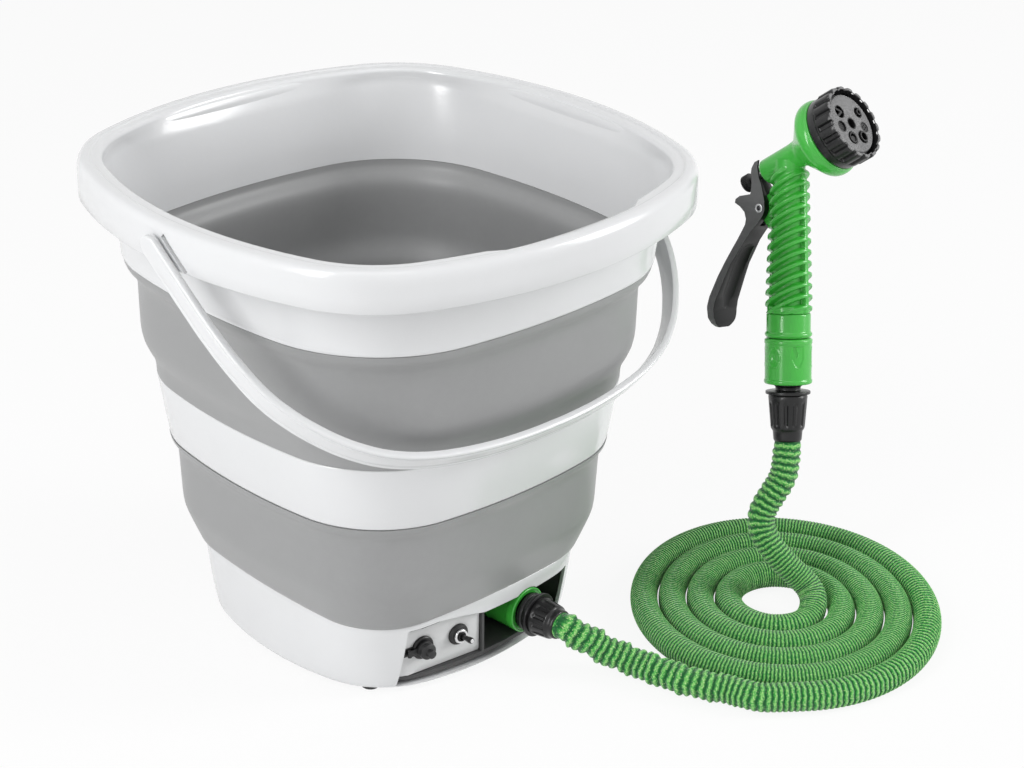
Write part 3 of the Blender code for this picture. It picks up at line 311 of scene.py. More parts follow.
def coil_point(angle):
    r = COIL_R - COIL_PITCH * (angle - COIL_REF) / math.tau
    r *= 1 + COIL_OVAL * math.cos(angle - COIL_OVAL_AT) ** 2
    return Vector((COIL_AT[0] + r * math.cos(angle), COIL_AT[1] + r * math.sin(angle), HOSE_Z))


def hose_route():
    """The hose's middle line, before its joins are smoothed."""
    coil = [coil_point(a) for a in np.linspace(COIL_FROM, COIL_TO, COIL_POINTS)]
    start_way = (coil[0] - coil[1]).normalized()
    end_way = (coil[-1] - coil[-2]).normalized()
    nut_face = outlet_frame @ Vector((0, 0, OUTLET_NUT_END + TOUCH))
    out_way = (outlet_frame.to_3x3() @ Vector((0, 0, 1))).normalized()
    lead_end = coil[0] + start_way * HOSE_D
    lead = smooth_path([nut_face, nut_face + out_way * STRAIGHT_END, *LEAD_ROUTE,
                        lead_end + start_way * 0.006], ROUTE_STEP)
    top = gun_frame @ Vector((0, 0, GUN_NUT_END - TOUCH))
    turned_up = [(COIL_AT[0] + r * math.cos(math.radians(d)), COIL_AT[1] + r * math.sin(math.radians(d)), z)
                 for d, r, z in RISER_TURNS]
    riser = smooth_path([coil[-1] + end_way * 0.0035, *turned_up, *RISER_ROUTE,
                         top - gun_up * STRAIGHT_END], ROUTE_STEP)
    return [*lead, lead_end, *coil, *riser, top]


def lengths_along(line):
    """How far along the line each of its points lies."""
    return np.concatenate([[0], np.cumsum(np.linalg.norm(np.diff(line, axis=0), axis=1))])


def points_at(lengths, line):
    """The line's points at the given lengths along it."""
    along = lengths_along(line)
    return np.array([np.interp(lengths, along, line[:, k]) for k in range(3)]).T


rough_line = np.array([tuple(p) for p in hose_route()])
rough_length = lengths_along(rough_line)[-1]
at = points_at(np.linspace(0, rough_length, round(rough_length / ROUTE_STEP) + 1), rough_line)
for _ in range(SMOOTHINGS):
    at[3:-3] = at[3:-3] * 0.5 + (at[2:-4] + at[4:-2]) * 0.25
HOSE_LENGTH = float(lengths_along(at)[-1])

SIDES = 28
RINGS_A_RIB = 7
COUNT_STEP = 0.0002
STEEP = 0.3
LEAST_LIKE = 0.995
ZIG_NINE, ZIG_FOUR = 0.06, 0.05
BUNCHED_BUCKET, BUNCHED_GUN, SLACK_LEAD = (0.085, 0.150), (0.035, 0.110), (0.26, 0.48)
RIB_PITCHES = (0.0024, 0.0030, 0.0014, 0.0026)
FOLD_DEPTHS = (0.00042, 0.00110, 0.00045, 0.00075)


def eased(value, low, high):
    t = np.clip((value - low) / (high - low), 0, 1)
    return t * t * (3 - 2 * t)


def hose_spacing(s):
    """The ribs' spacing and the folds' depth along the hose in metres, and how bunched its ends are."""
    near_bucket = 1 - eased(s, *BUNCHED_BUCKET)
    past_lead = (1 - eased(s, *SLACK_LEAD)) * (1 - near_bucket)
    near_gun = 1 - eased(HOSE_LENGTH - s, *BUNCHED_GUN)
    pitch, depth = (plain + bucket * near_bucket + lead * past_lead + gun * near_gun
                    for plain, bucket, lead, gun in (RIB_PITCHES, FOLD_DEPTHS))
    return pitch, depth, near_bucket, near_gun


def hose_skin():
    """Rings along the route, several to each rib, with a map of rib count and turn."""
    s_fine = np.arange(0, HOSE_LENGTH, COUNT_STEP)
    count = np.concatenate([[0], np.cumsum(COUNT_STEP / hose_spacing(s_fine)[0])[:-1]])
    stations = [0.0]
    while stations[-1] < HOSE_LENGTH:
        stations.append(stations[-1] + hose_spacing(stations[-1])[0] / RINGS_A_RIB)
    stations[-1] = HOSE_LENGTH
    s = np.array(stations)
    _, depth, near_bucket, near_gun = hose_spacing(s)
    phase = np.interp(s, s_fine, count)
    middle = points_at(s, at)
    forward = np.gradient(middle, axis=0)
    forward /= np.linalg.norm(forward, axis=1)[:, None]
    side = np.cross(forward, (0, 0, 1))
    # Where the line climbs or turns sharply, the last ring's side way is carried on, so nothing twists.
    for i, way in enumerate(forward):
        flat = np.linalg.norm(side[i])
        side[i] /= flat
        if i and (flat < STEEP or side[i].dot(side[i - 1]) < LEAST_LIKE):
            kept = side[i - 1] - way * side[i - 1].dot(way)
            side[i] = kept / np.linalg.norm(kept)
    up = np.cross(side, forward)
    turn = np.arange(SIDES) / SIDES * math.tau
    zigzag = ZIG_NINE * np.sin(turn * 9) + ZIG_FOUR * np.sin(turn * 4 + 1)
    wave = (0.5 + 0.5 * np.cos((phase[:, None] + zigzag) * math.tau)) ** 0.65
    bunch = (np.sin(phase * 1.55 + 0.6) * np.cos(phase * 0.83 + 1.7) * 1.5)[:, None]
    lump = bunch * np.cos(turn + phase[:, None] * 0.9) + 0.35 * np.sin(turn * 3 + phase[:, None] * 1.7)
    radius = (HOSE_D / 2 - 0.00020 + depth[:, None] * (wave * 1.15 - 0.55)
              + (0.00125 * near_bucket + 0.00030 * near_gun)[:, None] * lump)
    ends = np.minimum(eased(s, -0.001, 0.010), eased(HOSE_LENGTH - s, -0.001, 0.008))[:, None]
    radius = radius * ends + (HOSE_D / 2 - 0.0006) * (1 - ends)
    points = (middle[:, None, :] + side[:, None, :] * (radius * np.cos(turn))[:, :, None]
              + up[:, None, :] * (radius * np.sin(turn))[:, :, None])
    points[:, :, 2] = np.maximum(points[:, :, 2], FLOOR_Z + 0.0001)
    return points, phase, s


def ring_faces(rings, count, closed=False, caps=True):
    """Quads between rings of equal count, with their ends capped unless the rings close on themselves."""
    faces = []
    for i in range(rings if closed else rings - 1):
        j = (i + 1) % rings
        faces += [(i * count + p, i * count + (p + 1) % count, j * count + (p + 1) % count, j * count + p)
                  for p in range(count)]
    if caps and not closed:
        faces += [tuple(range(count)), tuple(range((rings - 1) * count, rings * count))]
    return faces


def shaded(mesh, sharp):
    """Smooth across edges flatter than the angle."""
    mesh.polygons.foreach_set("use_smooth", [True] * len(mesh.polygons))
    mesh.set_sharp_from_angle(angle=sharp)


def solid(name, verts, faces, sharp=0.6, matrix=None):
    """A mesh with its faces turned outwards."""
    mesh = bpy.data.meshes.new(name)
    mesh.from_pydata([tuple(v) for v in verts], [], faces)
    work = bmesh.new()
    work.from_mesh(mesh)
    bmesh.ops.recalc_face_normals(work, faces=work.faces[:])
    work.to_mesh(mesh)
    work.free()
    if matrix:
        mesh.transform(matrix)
    shaded(mesh, sharp)
    made = bpy.data.objects.new(name, mesh)
    bpy.context.scene.collection.objects.link(made)
    return made


def dress(made, finish, body, slot, *nodes):
    """Gives a piece its finish and its body, and hides the nodes that it stands for. The slot is not used."""
    made.data.materials.clear()
    made.data.materials.append(finish.material)
    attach(made, body)
    if nodes:
        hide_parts(*nodes)


points, phase, stations = hose_skin()
hose = solid("hose", points.reshape(-1, 3), ring_faces(len(stations), SIDES), 3.0)
ribs_map = hose.data.uv_layers.new(name="ribs")
owner = np.zeros(len(hose.data.loops), np.int32)
hose.data.loops.foreach_get("vertex_index", owner)
turn_of = (owner % SIDES) / SIDES
for face in hose.data.polygons:
    span = range(face.loop_start, face.loop_start + face.loop_total)
    if face.loop_total == 4 and max(turn_of[i] for i in span) - min(turn_of[i] for i in span) > 0.5:
        for i in span:
            if turn_of[i] == 0:
                turn_of[i] = 1.0
ribs_map.data.foreach_set("uv", np.stack([phase[owner // SIDES], turn_of], 1).ravel())

KNIT_DARK = (0.004, 0.110, 0.022, 1)
KNIT_MID = (0.045, 0.400, 0.058, 1)
KNIT_LIGHT = (0.270, 0.640, 0.170, 1)
KNIT_PALE = (0.620, 0.800, 0.400, 1)
knit = Finish("hose_knit", Sheen_Weight=0.35, Sheen_Roughness=0.5, Specular_IOR_Level=0.25)
rib_map = knit.node("ShaderNodeUVMap", {"uv_map": "ribs"}, {})
rib = knit.node("ShaderNodeSeparateXYZ", {}, {0: rib_map}, "X")
around = knit.node("ShaderNodeSeparateXYZ", {}, {0: rib_map}, "Y")
zig = (around * (math.tau * 9)).sine() * ZIG_NINE + (around * (math.tau * 4) + 1.0).sine() * ZIG_FOUR
ridge = ((rib + zig) * math.tau + QUARTER).wave() ** 0.60
stitch = (around * (math.tau * 18) + 0.8).wave() * ((rib * 2.0 + zig) * math.tau).wave()
yarn_at = knit.node("ShaderNodeCombineXYZ", {}, {0: rib * 4.0, 1: around * 34.0})
yarn = knit.noise(1.0, 3.0, yarn_at, 0.65)
fleck = knit.noise(1.7, 1.0, yarn_at, 0.5)
# The greens follow the ribs: painted shade darkens the grooves and painted light brightens the crests, mixed
# with the yarn's own mottle. The pale flecks lean a little towards the crests as painted highlights.
rib_light_and_shade = (ridge * 0.90 + stitch * 0.15 + (yarn - 0.5) * 0.9).ramp(0.24, 0.96)
colour = knit.mix(rib_light_and_shade, KNIT_DARK, KNIT_MID)
colour = knit.mix((rib_light_and_shade * 0.9 + (yarn - 0.5) * 1.3).ramp(0.62, 1.10), colour, KNIT_LIGHT)
colour = knit.mix((fleck + ridge * 0.12).ramp(0.66, 0.78) * 0.75, colour, KNIT_PALE)
knit.set(Base_Color=colour, Roughness=0.70 + yarn * 0.20,
         Normal=knit.bump(ridge * 0.8 + stitch * 0.35 + yarn * 0.5, 0.0007, 0.9))
dress(hose, knit, "hose", "hose_fabric", "hose_lead", "hose_coil", "hose_riser")


# Hose fittings. Black glossy plastic: a plug with a flange, which the click connectors hold, and a
# ribbed nut that clamps the sleeve. One sits in the bucket's outlet, the other under the spray gun.
NUT_FLUTES = 12
NUT_STEPS = 96
FLUTE_DEEP = 0.0009
NECK_DEEP = 0.0013
BLACK = (0.0075, 0.0075, 0.0080, 1)
BLACK_SMEARED = (0.016, 0.016, 0.017, 1)


def turned(name, profile, matrix=None, steps=64, sharp=0.6):
    """A turned piece: the profile's radii and heights run once round the axis, and close if off it."""
    rings, tips = [], []
    for r, z in profile:
        if r > 0:
            rings.append([(r * math.cos(t), r * math.sin(t), z) for t in np.arange(steps) / steps * math.tau])
        else:
            tips.append((len(rings) == 0, (0, 0, z)))
    verts = [p for ring in rings for p in ring]
    faces = ring_faces(len(rings), steps, closed=not tips, caps=False)
    for first, tip in tips:
        verts.append(tip)
        start = 0 if first else (len(rings) - 1) * steps
        faces += [(start + p, start + (p + 1) % steps, len(verts) - 1) for p in range(steps)]
    return solid(name, verts, faces, sharp, matrix)


def rounded_profile(profile, radius, points=3, axis=True):
    """The closed outline with its corners rounded, as far as its sides allow. Points on an axis stay."""
    made = []
    for i, (x, z) in enumerate(profile):
        before = Vector(profile[i - 1]) - Vector((x, z))
        after = Vector(profile[(i + 1) % len(profile)]) - Vector((x, z))
        reach = min(radius, before.length * 0.45, after.length * 0.45)
        if (axis and x <= 0) or before.normalized().dot(after.normalized()) < -0.995:
            made.append((x, z))
            continue
        a, b = before.normalized() * reach, after.normalized() * reach
        for k in range(points + 1):
            t = k / points
            corner = Vector((x, z)) + a * (1 - t) ** 2 + b * t ** 2
            made.append((corner.x, corner.y))
    return made


def moulded(name, profile, soft, matrix, steps=64, sharp=0.6, points=3):
    """A turned piece with its corners rounded."""
    return turned(name, rounded_profile(profile, soft, points), matrix, steps, sharp)


def wrapped(name, rows, count, radius, inner, matrix, sharp=0.6):
    """A round piece whose outside is radius(z, turn), with a plain bore of the inner radius."""
    turns = np.arange(count) / count * math.tau
    rings = [[(radius(z, t) * math.cos(t), radius(z, t) * math.sin(t), z) for t in turns] for z in rows]
    for z in (rows[-1], rows[0]):
        rings.append([(inner * math.cos(t), inner * math.sin(t), z) for t in turns])
    verts = [p for ring in rings for p in ring]
    return solid(name, verts, ring_faces(len(rings), count, closed=True), sharp, matrix)


def rise(value, low, high):
    """0 below low and 1 above high, for one number."""
    return float(eased(value, low, high))


def fall(value, low, high):
    return float(1 - eased(value, low, high))


def bell(value, middle, half_width, soft):
    """1 within the half width of the middle and 0 past the soft edge."""
    return fall(abs(value - middle), half_width, half_width + soft)


def flute_off(turn, flutes):
    """How far the turn is from the middle of the nearest flute: 0 to half, as a share of the spacing."""
    step = math.tau / flutes
    return abs((turn + step / 2) % step - step / 2) / step


def nut_outside(low, high, r_low, r_high, lip_low):
    """The clamp nut's radius: straight sides with flutes, and a narrower end towards the hose."""
    def radius(z, turn):
        t = (z - low if lip_low else high - z) / (high - low)
        r = r_low + (r_high - r_low) * t - NECK_DEEP * fall(t, 0.20, 0.30)
        length = rise(t, 0.30, 0.36) * fall(t, 0.80, 0.88)
        r -= FLUTE_DEEP * length * fall(flute_off(turn, NUT_FLUTES), 0.13, 0.24)
        return r - 0.0005 * fall(t, 0.0, 0.03) - 0.0004 * rise(t, 0.97, 1.0)

    return radius


black_gloss = Finish("black_gloss", Specular_IOR_Level=0.38, Coat_Weight=0.10, Coat_Roughness=0.12)
grain = black_gloss.noise(2600, 3)
smear = black_gloss.noise(70, 3)
black_gloss.set(Base_Color=black_gloss.mix((smear - 0.35) * 0.9, BLACK, BLACK_SMEARED),
                Roughness=0.24 + smear * 0.16, Normal=black_gloss.bump(grain, 0.00006, 0.5))
NUTS = (("outlet", outlet_frame, 0.0104, OUTLET_NUT_END, 0.0113, 0.0132, False),
        ("gun", gun_frame, GUN_NUT_END, -0.0080, 0.0110, 0.0136, True))
for name, place, low, high, r_hose, r_flange, lip_low in NUTS:
    rows = [low + (high - low) * t for t in np.concatenate([[0, 0.015, 0.03], np.linspace(0.08, 0.92, 26),
                                                            [0.97, 0.985, 1]])]
    nut = wrapped(f"{name}_nut_black", rows, NUT_STEPS,
                  nut_outside(low, high, r_hose, r_flange, lip_low), 0.0050, place, 0.7)
    dress(nut, black_gloss, "hose", "black_plastic", f"{name}_nut")
PLUGS = {
    "outlet": ((0.0095, 0.0125), (0.0095, 0.0102), (0.0154, 0.0100), (0.0154, 0.0078), (0.0132, 0.0074),
               (0.0132, 0.0054), (0.0127, 0.0050), (0.0127, 0.0042), (0.0132, 0.0038), (0.0132, 0.0010),
               (0.0078, 0.0008), (0.0078, -0.0180), (0.0070, -0.0190), (0.0048, -0.0190), (0.0048, 0.0125)),
    "gun": ((0.0070, 0.0180), (0.0078, 0.0170), (0.0078, 0.0002), (0.0102, 0.0), (0.0102, -0.0012),
            (0.0088, -0.0022), (0.0086, -0.0044), (0.0096, -0.0050), (0.0155, -0.0052), (0.0155, -0.0072),
            (0.0095, -0.0077), (0.0095, -0.0100), (0.0048, -0.0100), (0.0048, 0.0180)),
}
for name, place in (("outlet", outlet_frame), ("gun", gun_frame)):
    plug = moulded(f"{name}_plug_black", PLUGS[name], 0.0004, place)
    dress(plug, black_gloss, "hose", "black_plastic", f"{name}_plug")


# Base. The white lower shell of the bucket, injection moulded with drafted sides and a turned-in foot
# edge. A long recess across its front takes the controls and the outlet.
GAP = 0.0003
WALL = 0.0025
# Each level of the bucket is half its width, the radius of its corners and that of its bulged sides.
RIM = (0.182, 0.090, 0.300)
SKIRT = (0.154, 0.094, 0.479)
BAND = (0.130, 0.0734, 0.422)
BASE_TOP = (0.1067, 0.0485, 0.6055)
BASE_LOW = (0.108, 0.065, 0.200)
BASE_H = 0.0516
COVER_T = 0.0028
ARC_POINTS = 20
RECESS = ((-0.0748, 0.0030), (0.0680, 0.0030), (0.0745, 0.0412), (0.0380, 0.0400), (0.0200, 0.0400),
          (-0.0090, 0.0405), (-0.0280, 0.0450), (-0.0480, 0.0478), (-0.0715, 0.0478))
RECESS_CORNER = 0.0022
RECESS_REACH = (0.082, 0.130)
NOTCH_R = 0.0166


def section(a, r, big, count=ARC_POINTS):
    """Points of a bulged square with rounded corners: a half width, r corner, big side radius."""
    k = big - a
    c = (-k + math.sqrt(2 * (big - r) ** 2 - k * k)) / 2
    turn = math.atan2(c, c + k)
    quarter = [(-k + big * math.cos(t), big * math.sin(t))
               for t in np.linspace(-turn, turn, count + 1)[:-1]]
    quarter += [(c + r * math.cos(t), c + r * math.sin(t))
                for t in np.linspace(turn, QUARTER - turn, count + 1)[:-1]]
    points = []
    for q in range(4):
        s, e = (0, 1, 0, -1)[q], (1, 0, -1, 0)[q]
        points += [(x * e - y * s, x * s + y * e) for x, y in quarter]
    return points


def corner_reach(a, r, big):
    """How far the middle of that section's corner is from the centre."""
    k = big - a
    return (-k + math.sqrt(2 * (big - r) ** 2 - k * k)) / 2 * math.sqrt(2) + r


def held(t):
    return min(1.0, max(0.0, t))


def mixed(first, second, t):
    return tuple(p + (q - p) * t for p, q in zip(first, second))


def grown(base, d):
    return tuple(value + d for value in base)


def level(base, d, z):
    """One ring of a wall: the section moved out by d, at height z."""
    return [(x, y, z) for x, y in section(*grown(base, d))]


def stacked(name, rings, sharp=0.6, closed=True):
    """A wall from rings that run down its outside and up its inside."""
    verts = [p for ring in rings for p in ring]
    return solid(name, verts, ring_faces(len(rings), len(rings[0]), closed=closed), sharp)


def upright(name, outline, low, high, matrix=None, sharp=0.5):
    """A flat outline in x and y, raised from low to high along z."""
    n = len(outline)
    verts = [(x, y, low) for x, y in outline] + [(x, y, high) for x, y in outline]
    return solid(name, verts, ring_faces(2, n), sharp, matrix)


def rectangle(corner, opposite):
    return corner[:2], (opposite[0], corner[1]), opposite[:2], (corner[0], opposite[1])


def block(name, low, high, matrix):
    return upright(name, rectangle(low, high), low[2], high[2], matrix)


def peg(name, r, low, high, matrix, steps=32, soft=0.0):
    """A plain round bar, or the tool for a round hole."""
    profile = ((0, high), (r, high), (r, low), (0, low))
    return turned(name, rounded_profile(profile, soft) if soft else profile, matrix, steps)


def settled(made, sharp):
    """The piece with its modifiers applied."""
    bpy.context.view_layer.update()
    mesh = bpy.data.meshes.new_from_object(made.evaluated_get(bpy.context.evaluated_depsgraph_get()))
    made.modifiers.clear()
    made.data = mesh
    shaded(mesh, sharp)
    return made


def shaped(made, take=(), add=(), keep=(), sharp=0.6):
    """Joins, cuts and trims the piece with the tools, which are then removed."""
    for operation, tools in (("UNION", add), ("DIFFERENCE", take), ("INTERSECT", keep)):
        for tool in tools:
            change = made.modifiers.new(tool.name, "BOOLEAN")
            change.operation = operation
            change.object = tool
    settled(made, sharp)
    for tool in (*take, *add, *keep):
        bpy.data.objects.remove(tool, do_unlink=True)


def softened(made, width, angle=0.6, segments=2):
    """Rounds the piece's sharp edges."""
    bevel = made.modifiers.new("edges", "BEVEL")
    bevel.width = width
    bevel.segments = segments
    bevel.limit_method = "ANGLE"
    bevel.angle_limit = angle
    bevel.use_clamp_overlap = True
    return settled(made, angle)


def base_section(z):
    return mixed(BASE_LOW, BASE_TOP, held(z / BASE_H))


white_gloss = Finish("white_gloss", Specular_IOR_Level=0.55, Coat_Weight=0.15, Coat_Roughness=0.08,
                     Subsurface_Weight=0.04, Subsurface_Radius=(0.004, 0.004, 0.004))
cloud = white_gloss.noise(9, 2)
peel = white_gloss.noise(220, 2)
scuff = white_gloss.noise(38, 5, rough=0.7)
WHITE_NEW = (0.735, 0.742, 0.752, 1)
WHITE_WORN = (0.690, 0.697, 0.706, 1)
white_gloss.set(Base_Color=white_gloss.mix((cloud - 0.3) * 0.9 + (scuff - 0.5) * 0.4,
                                           WHITE_NEW, WHITE_WORN),
                Roughness=0.20 + (scuff - 0.4) * 0.16,
                Normal=white_gloss.bump(peel * 0.8 + cloud * 2.0, 0.00010, 0.5))
BASE_WALL = ((BASE_H - 0.0004, -0.0001),
             *((z, 0.0) for z in (0.0460, 0.0380, 0.0290, 0.0200, 0.0120, 0.0060)),
             (0.0040, -0.0003), (0.0024, -0.0011), (0.0012, -0.0024), (0.0005, -0.0040),
             (0.0004, -0.0082), (COVER_T + 0.0004, -0.0082),
             *((z, -WALL) for z in (0.0065, 0.0210, 0.0380, BASE_H - 0.0002)),
             (BASE_H, -WALL + 0.0003), (BASE_H, -0.0005))
base = stacked("base_white", [level(base_section(z), d, z) for z, d in BASE_WALL], 0.9)
recess = upright("recess", rounded_profile(RECESS, RECESS_CORNER, 4, axis=False), *RECESS_REACH,
                 spun(QUARTER, "X"))
notch = peg("notch", NOTCH_R, -0.014, 0.020, outlet_frame, 64)
shaped(base, take=(recess, notch), sharp=0.7)
softened(base, 0.00035, 0.9)
dress(base, white_gloss, "base", "white_plastic", "base_shell")


# Folding walls. Two soft grey rings of thermoplastic rubber, moulded with a step near each end where
# they fold flat; the upper one tucks inside the skirt and the band.
SOFT_WALL = 0.0026
BAND_LOW, BAND_TOP = 0.136, 0.181
BAND_WIDE = grown(BAND, 0.007)
SKIRT_LOW = 0.2655
LOWER_OUT = ((0.1357, 0.1480), (0.1330, 0.1474), (0.1300, 0.1455), (0.1272, 0.1437), (0.1235, 0.1428),
             (0.1165, 0.1423), (0.1010, 0.1416), (0.0900, 0.1411), (0.0855, 0.1408), (0.0815, 0.1402),
             (0.0770, 0.1388), (0.0720, 0.1369), (0.0650, 0.1341), (0.0590, 0.1316), (0.0560, 0.1304),
             (0.0540, 0.1291), (0.0527, 0.1279), (0.0519, 0.1272))
UPPER_OUT = ((0.2652, 0.1728), (0.2618, 0.1724), (0.2595, 0.1714), (0.2568, 0.1692), (0.2542, 0.1670),
             (0.2515, 0.1656), (0.2485, 0.1647), (0.2440, 0.1641), (0.2375, 0.1640), (0.2250, 0.1638),
             (0.2150, 0.1636), (0.2105, 0.1632), (0.2060, 0.1622), (0.2010, 0.1601), (0.1965, 0.1577),
             (0.1930, 0.1562), (0.1890, 0.1552), (0.1850, 0.1547), (0.1813, 0.1546))


def folding_wall(name, heights, low, high, z_low, z_high):
    """A thin wall from heights and corner reaches, between the sections low and high."""
    rings = []
    for side in (0, 1):
        for z, reach in heights[::-1] if side else heights:
            wide = mixed(low, high, held((z - z_low) / (z_high - z_low)))
            rings.append(level(wide, reach - corner_reach(*wide) - side * SOFT_WALL, z))
    return stacked(name, rings, 0.9)


soft_grey = Finish("soft_grey", Specular_IOR_Level=0.45, Sheen_Weight=0.12, Sheen_Roughness=0.45)
haze = soft_grey.noise(14, 3)
dust = soft_grey.noise(160, 4, rough=0.65)
pores = soft_grey.noise(3200, 2)
GREY = (0.300, 0.303, 0.305, 1)
GREY_PALE = (0.345, 0.348, 0.350, 1)
soft_grey.set(Base_Color=soft_grey.mix((haze - 0.35) * 0.9 + (dust - 0.5) * 0.6, GREY, GREY_PALE),
              Roughness=0.42 + (dust - 0.5) * 0.18 + (haze - 0.5) * 0.10,
              Normal=soft_grey.bump(pores * 0.5 + haze * 1.2, 0.00008, 0.5))
for name, heights, low, high, z_low, z_high, bodies in (
        ("lower_fold", LOWER_OUT, BASE_TOP, BAND, BASE_H, BAND_LOW, ("base", "middle")),
        ("upper_fold", UPPER_OUT, BAND_WIDE, SKIRT, BAND_TOP, SKIRT_LOW, ("middle", "rim"))):
    fold = folding_wall(f"{name}_grey", heights, low, high, z_low, z_high)
    fold.data.materials.append(soft_grey.material)
    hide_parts(f"{name}_wall")
    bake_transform(fold)


# Middle band. A hard white hoop between the two folding walls; it keeps the bucket square when it is
# up and carries the lower edge of the upper wall.
BAND_T = 0.0030
BAND_MID = (BAND_LOW + BAND_TOP) / 2
band_profile = ((BAND_TOP, -0.0008), (BAND_TOP - 0.0004, -0.0003), (BAND_TOP - 0.0015, 0.0),
                (BAND_MID, 0.0), (BAND_LOW + 0.0015, 0.0), (BAND_LOW + 0.0004, -0.0003),
                (BAND_LOW, -0.0008), (BAND_LOW, -BAND_T), (BAND_MID, -BAND_T), (BAND_TOP, -BAND_T))
band = stacked("band_white", [level(mixed(BAND, BAND_WIDE, (z - BAND_LOW) / (BAND_TOP - BAND_LOW)), d, z)
                              for z, d in band_profile], 0.9)
dress(band, white_gloss, "middle", "white_plastic", "middle_band")


# Rim. One white moulding: a skirt that clamps the upper wall, a deep turned-over lip for lifting, and
# a shallow pouring spout pressed into the lip's inner edge at the front.
LIP_LOW = 0.304
RIM_TOP = 0.330
LIP_T = 0.0023
SPOUT_OUT = 0.005
SPOUT_HALF = 0.054
SPOUT_SOFT = 0.012
PIVOT_Z = 0.315
HANG = math.radians(50)
STUD_HOLE_R = 0.0042
STUD_HOLE_X, WINDOW_X = 0.1805, 0.1815
WINDOW_LOW, WINDOW_HIGH = (-0.0035, -0.0112, -0.0270), (0.0045, -0.0078, 0.0010)


def rim_ring(t, d, z, pour=0.0):
    """t runs from the skirt's section to the rim's; pour is the share of the spout's shift."""
    ring = []
    for x, y in section(*grown(mixed(SKIRT, RIM, t), d)):
        shift = rise(SPOUT_HALF + SPOUT_SOFT - abs(x), 0, SPOUT_SOFT) * SPOUT_OUT if y < 0 else 0.0
        ring.append((x, y - pour * shift, z))
    return ring


RIM_PROFILE = (
    (0.0, -0.0004, SKIRT_LOW), (0.0, 0.0003, SKIRT_LOW + 0.0004), (0.005, 0.0006, SKIRT_LOW + 0.0012),
    (0.015, 0.0006, SKIRT_LOW + 0.0028), (0.02, 0.0003, SKIRT_LOW + 0.0036), (0.028, 0.0, SKIRT_LOW + 0.0042),
    (0.06, 0.0, 0.2780), (0.10, 0.0, 0.2860), (0.15, 0.0, 0.2930), (0.20, 0.0, 0.3000), (0.26, 0.0, 0.3120),
    (0.30, 0.0, 0.3220, 0.2), (0.32, 0.0, 0.3258, 0.45), (0.36, 0.0, 0.3270, 0.5), (0.55, 0.0, 0.3275, 0.4),
    (0.75, 0.0, 0.3275, 0.3), (0.93, 0.0, 0.3268), (1.0, -LIP_T - 0.0014, 0.3255),
    (1.0, -LIP_T - 0.0002, 0.3225), (1.0, -LIP_T, 0.3150), (1.0, -LIP_T, LIP_LOW + 0.0004),
    (1.0, -LIP_T + 0.0004, LIP_LOW), (1.0, -0.0004, LIP_LOW), (1.0, 0.0, LIP_LOW + 0.0005),
    (1.0, 0.0, 0.3130), (1.0, 0.0, 0.3210), (1.0, -0.0003, 0.3246), (1.0, -0.0011, 0.3272),
    (1.0, -0.0022, 0.3288), (1.0, -0.0038, 0.3297), (1.0, -0.0056, RIM_TOP), (1.0, -0.0080, RIM_TOP),
    (1.0, -0.0085, RIM_TOP - 0.0001), (1.0, -0.0090, RIM_TOP - 0.0007), (1.0, -0.0096, RIM_TOP - 0.0008),
    (1.0, -0.0118, 0.3293, 0.35), (1.0, -0.0138, 0.3292, 0.85), (1.0, -0.0150, 0.3290, 1.0),
    (1.0, -0.0159, 0.3284, 1.0), (1.0, -0.0164, 0.3276, 1.0), (1.0, -0.0167, 0.3266, 1.0),
    (0.80, -0.0128, 0.3228, 0.95), (0.55, -0.0085, 0.3175, 0.85), (0.35, -0.0045, 0.3120, 0.7),
    (0.20, -WALL, 0.2990, 0.2), (0.10, -WALL, 0.2860), (0.05, -WALL, 0.2750), (0.0, -WALL, SKIRT_LOW))
rim = stacked("rim_white", [rim_ring(*row) for row in RIM_PROFILE], 0.9)
hang = spun(-HANG, "X")
openings = []
for side in (-1, 1):
    openings.append(peg(f"stud_hole_{side}", STUD_HOLE_R, -0.0075, 0.0075,
                        moved(side * STUD_HOLE_X, 0, PIVOT_Z) @ spun(QUARTER, "Y"), 64))
    openings.append(block(f"window_{side}", WINDOW_LOW, WINDOW_HIGH,
                          moved(side * WINDOW_X, 0, PIVOT_Z) @ hang))
shaped(rim, take=openings, sharp=0.9)
dress(rim, white_gloss, "rim", "white_plastic", "rim_frame")


# Bail. A flat white strap bent to a U, with two shallow grooves along its outer face, a rounded eye at
# each end and a stud through the lip that a clip holds from inside.
BAIL_W = 0.015
BAIL_T = 0.0050
STUD_R = 0.0038
EYE_R = BAIL_W / 2
EYE_X = 0.189
EYE_TIP = 0.12
BAIL_HALF = ((0.0, EYE_X), (0.018, 0.1882), (0.042, 0.1868), (0.064, 0.1852), (0.090, 0.1815),
             (0.115, 0.1750), (0.136, 0.1640), (0.155, 0.1490), (0.168, 0.1345), (0.178, 0.1190),
             (0.1865, 0.0980), (0.1925, 0.0730), (0.1965, 0.0450), (0.1982, 0.0200), (0.1985, 0.0))
STRAP_STEP = 0.0055
STRAP_SECTION = ((-1.0, 0.0012), (-0.975, 0.0005), (-0.92, 0.0001),
                 *((side, 0.0) for side in (-0.84, -0.70, -0.62, -0.54, -0.20)),
                 *((side, 0.0) for side in (0.20, 0.54, 0.62, 0.70, 0.84)),
                 (0.92, 0.0001), (0.975, 0.0005), (1.0, 0.0012), (1.0, BAIL_T - 0.0010),
                 (0.95, BAIL_T - 0.0002), (0.86, BAIL_T), (-0.86, BAIL_T), (-0.95, BAIL_T - 0.0002),
                 (-1.0, BAIL_T - 0.0010))
GROOVES_AT = (-0.62, 0.62)
GROOVE_DEEP = 0.00035
WITHIN_BAIL = Vector((0, -0.02, 0))

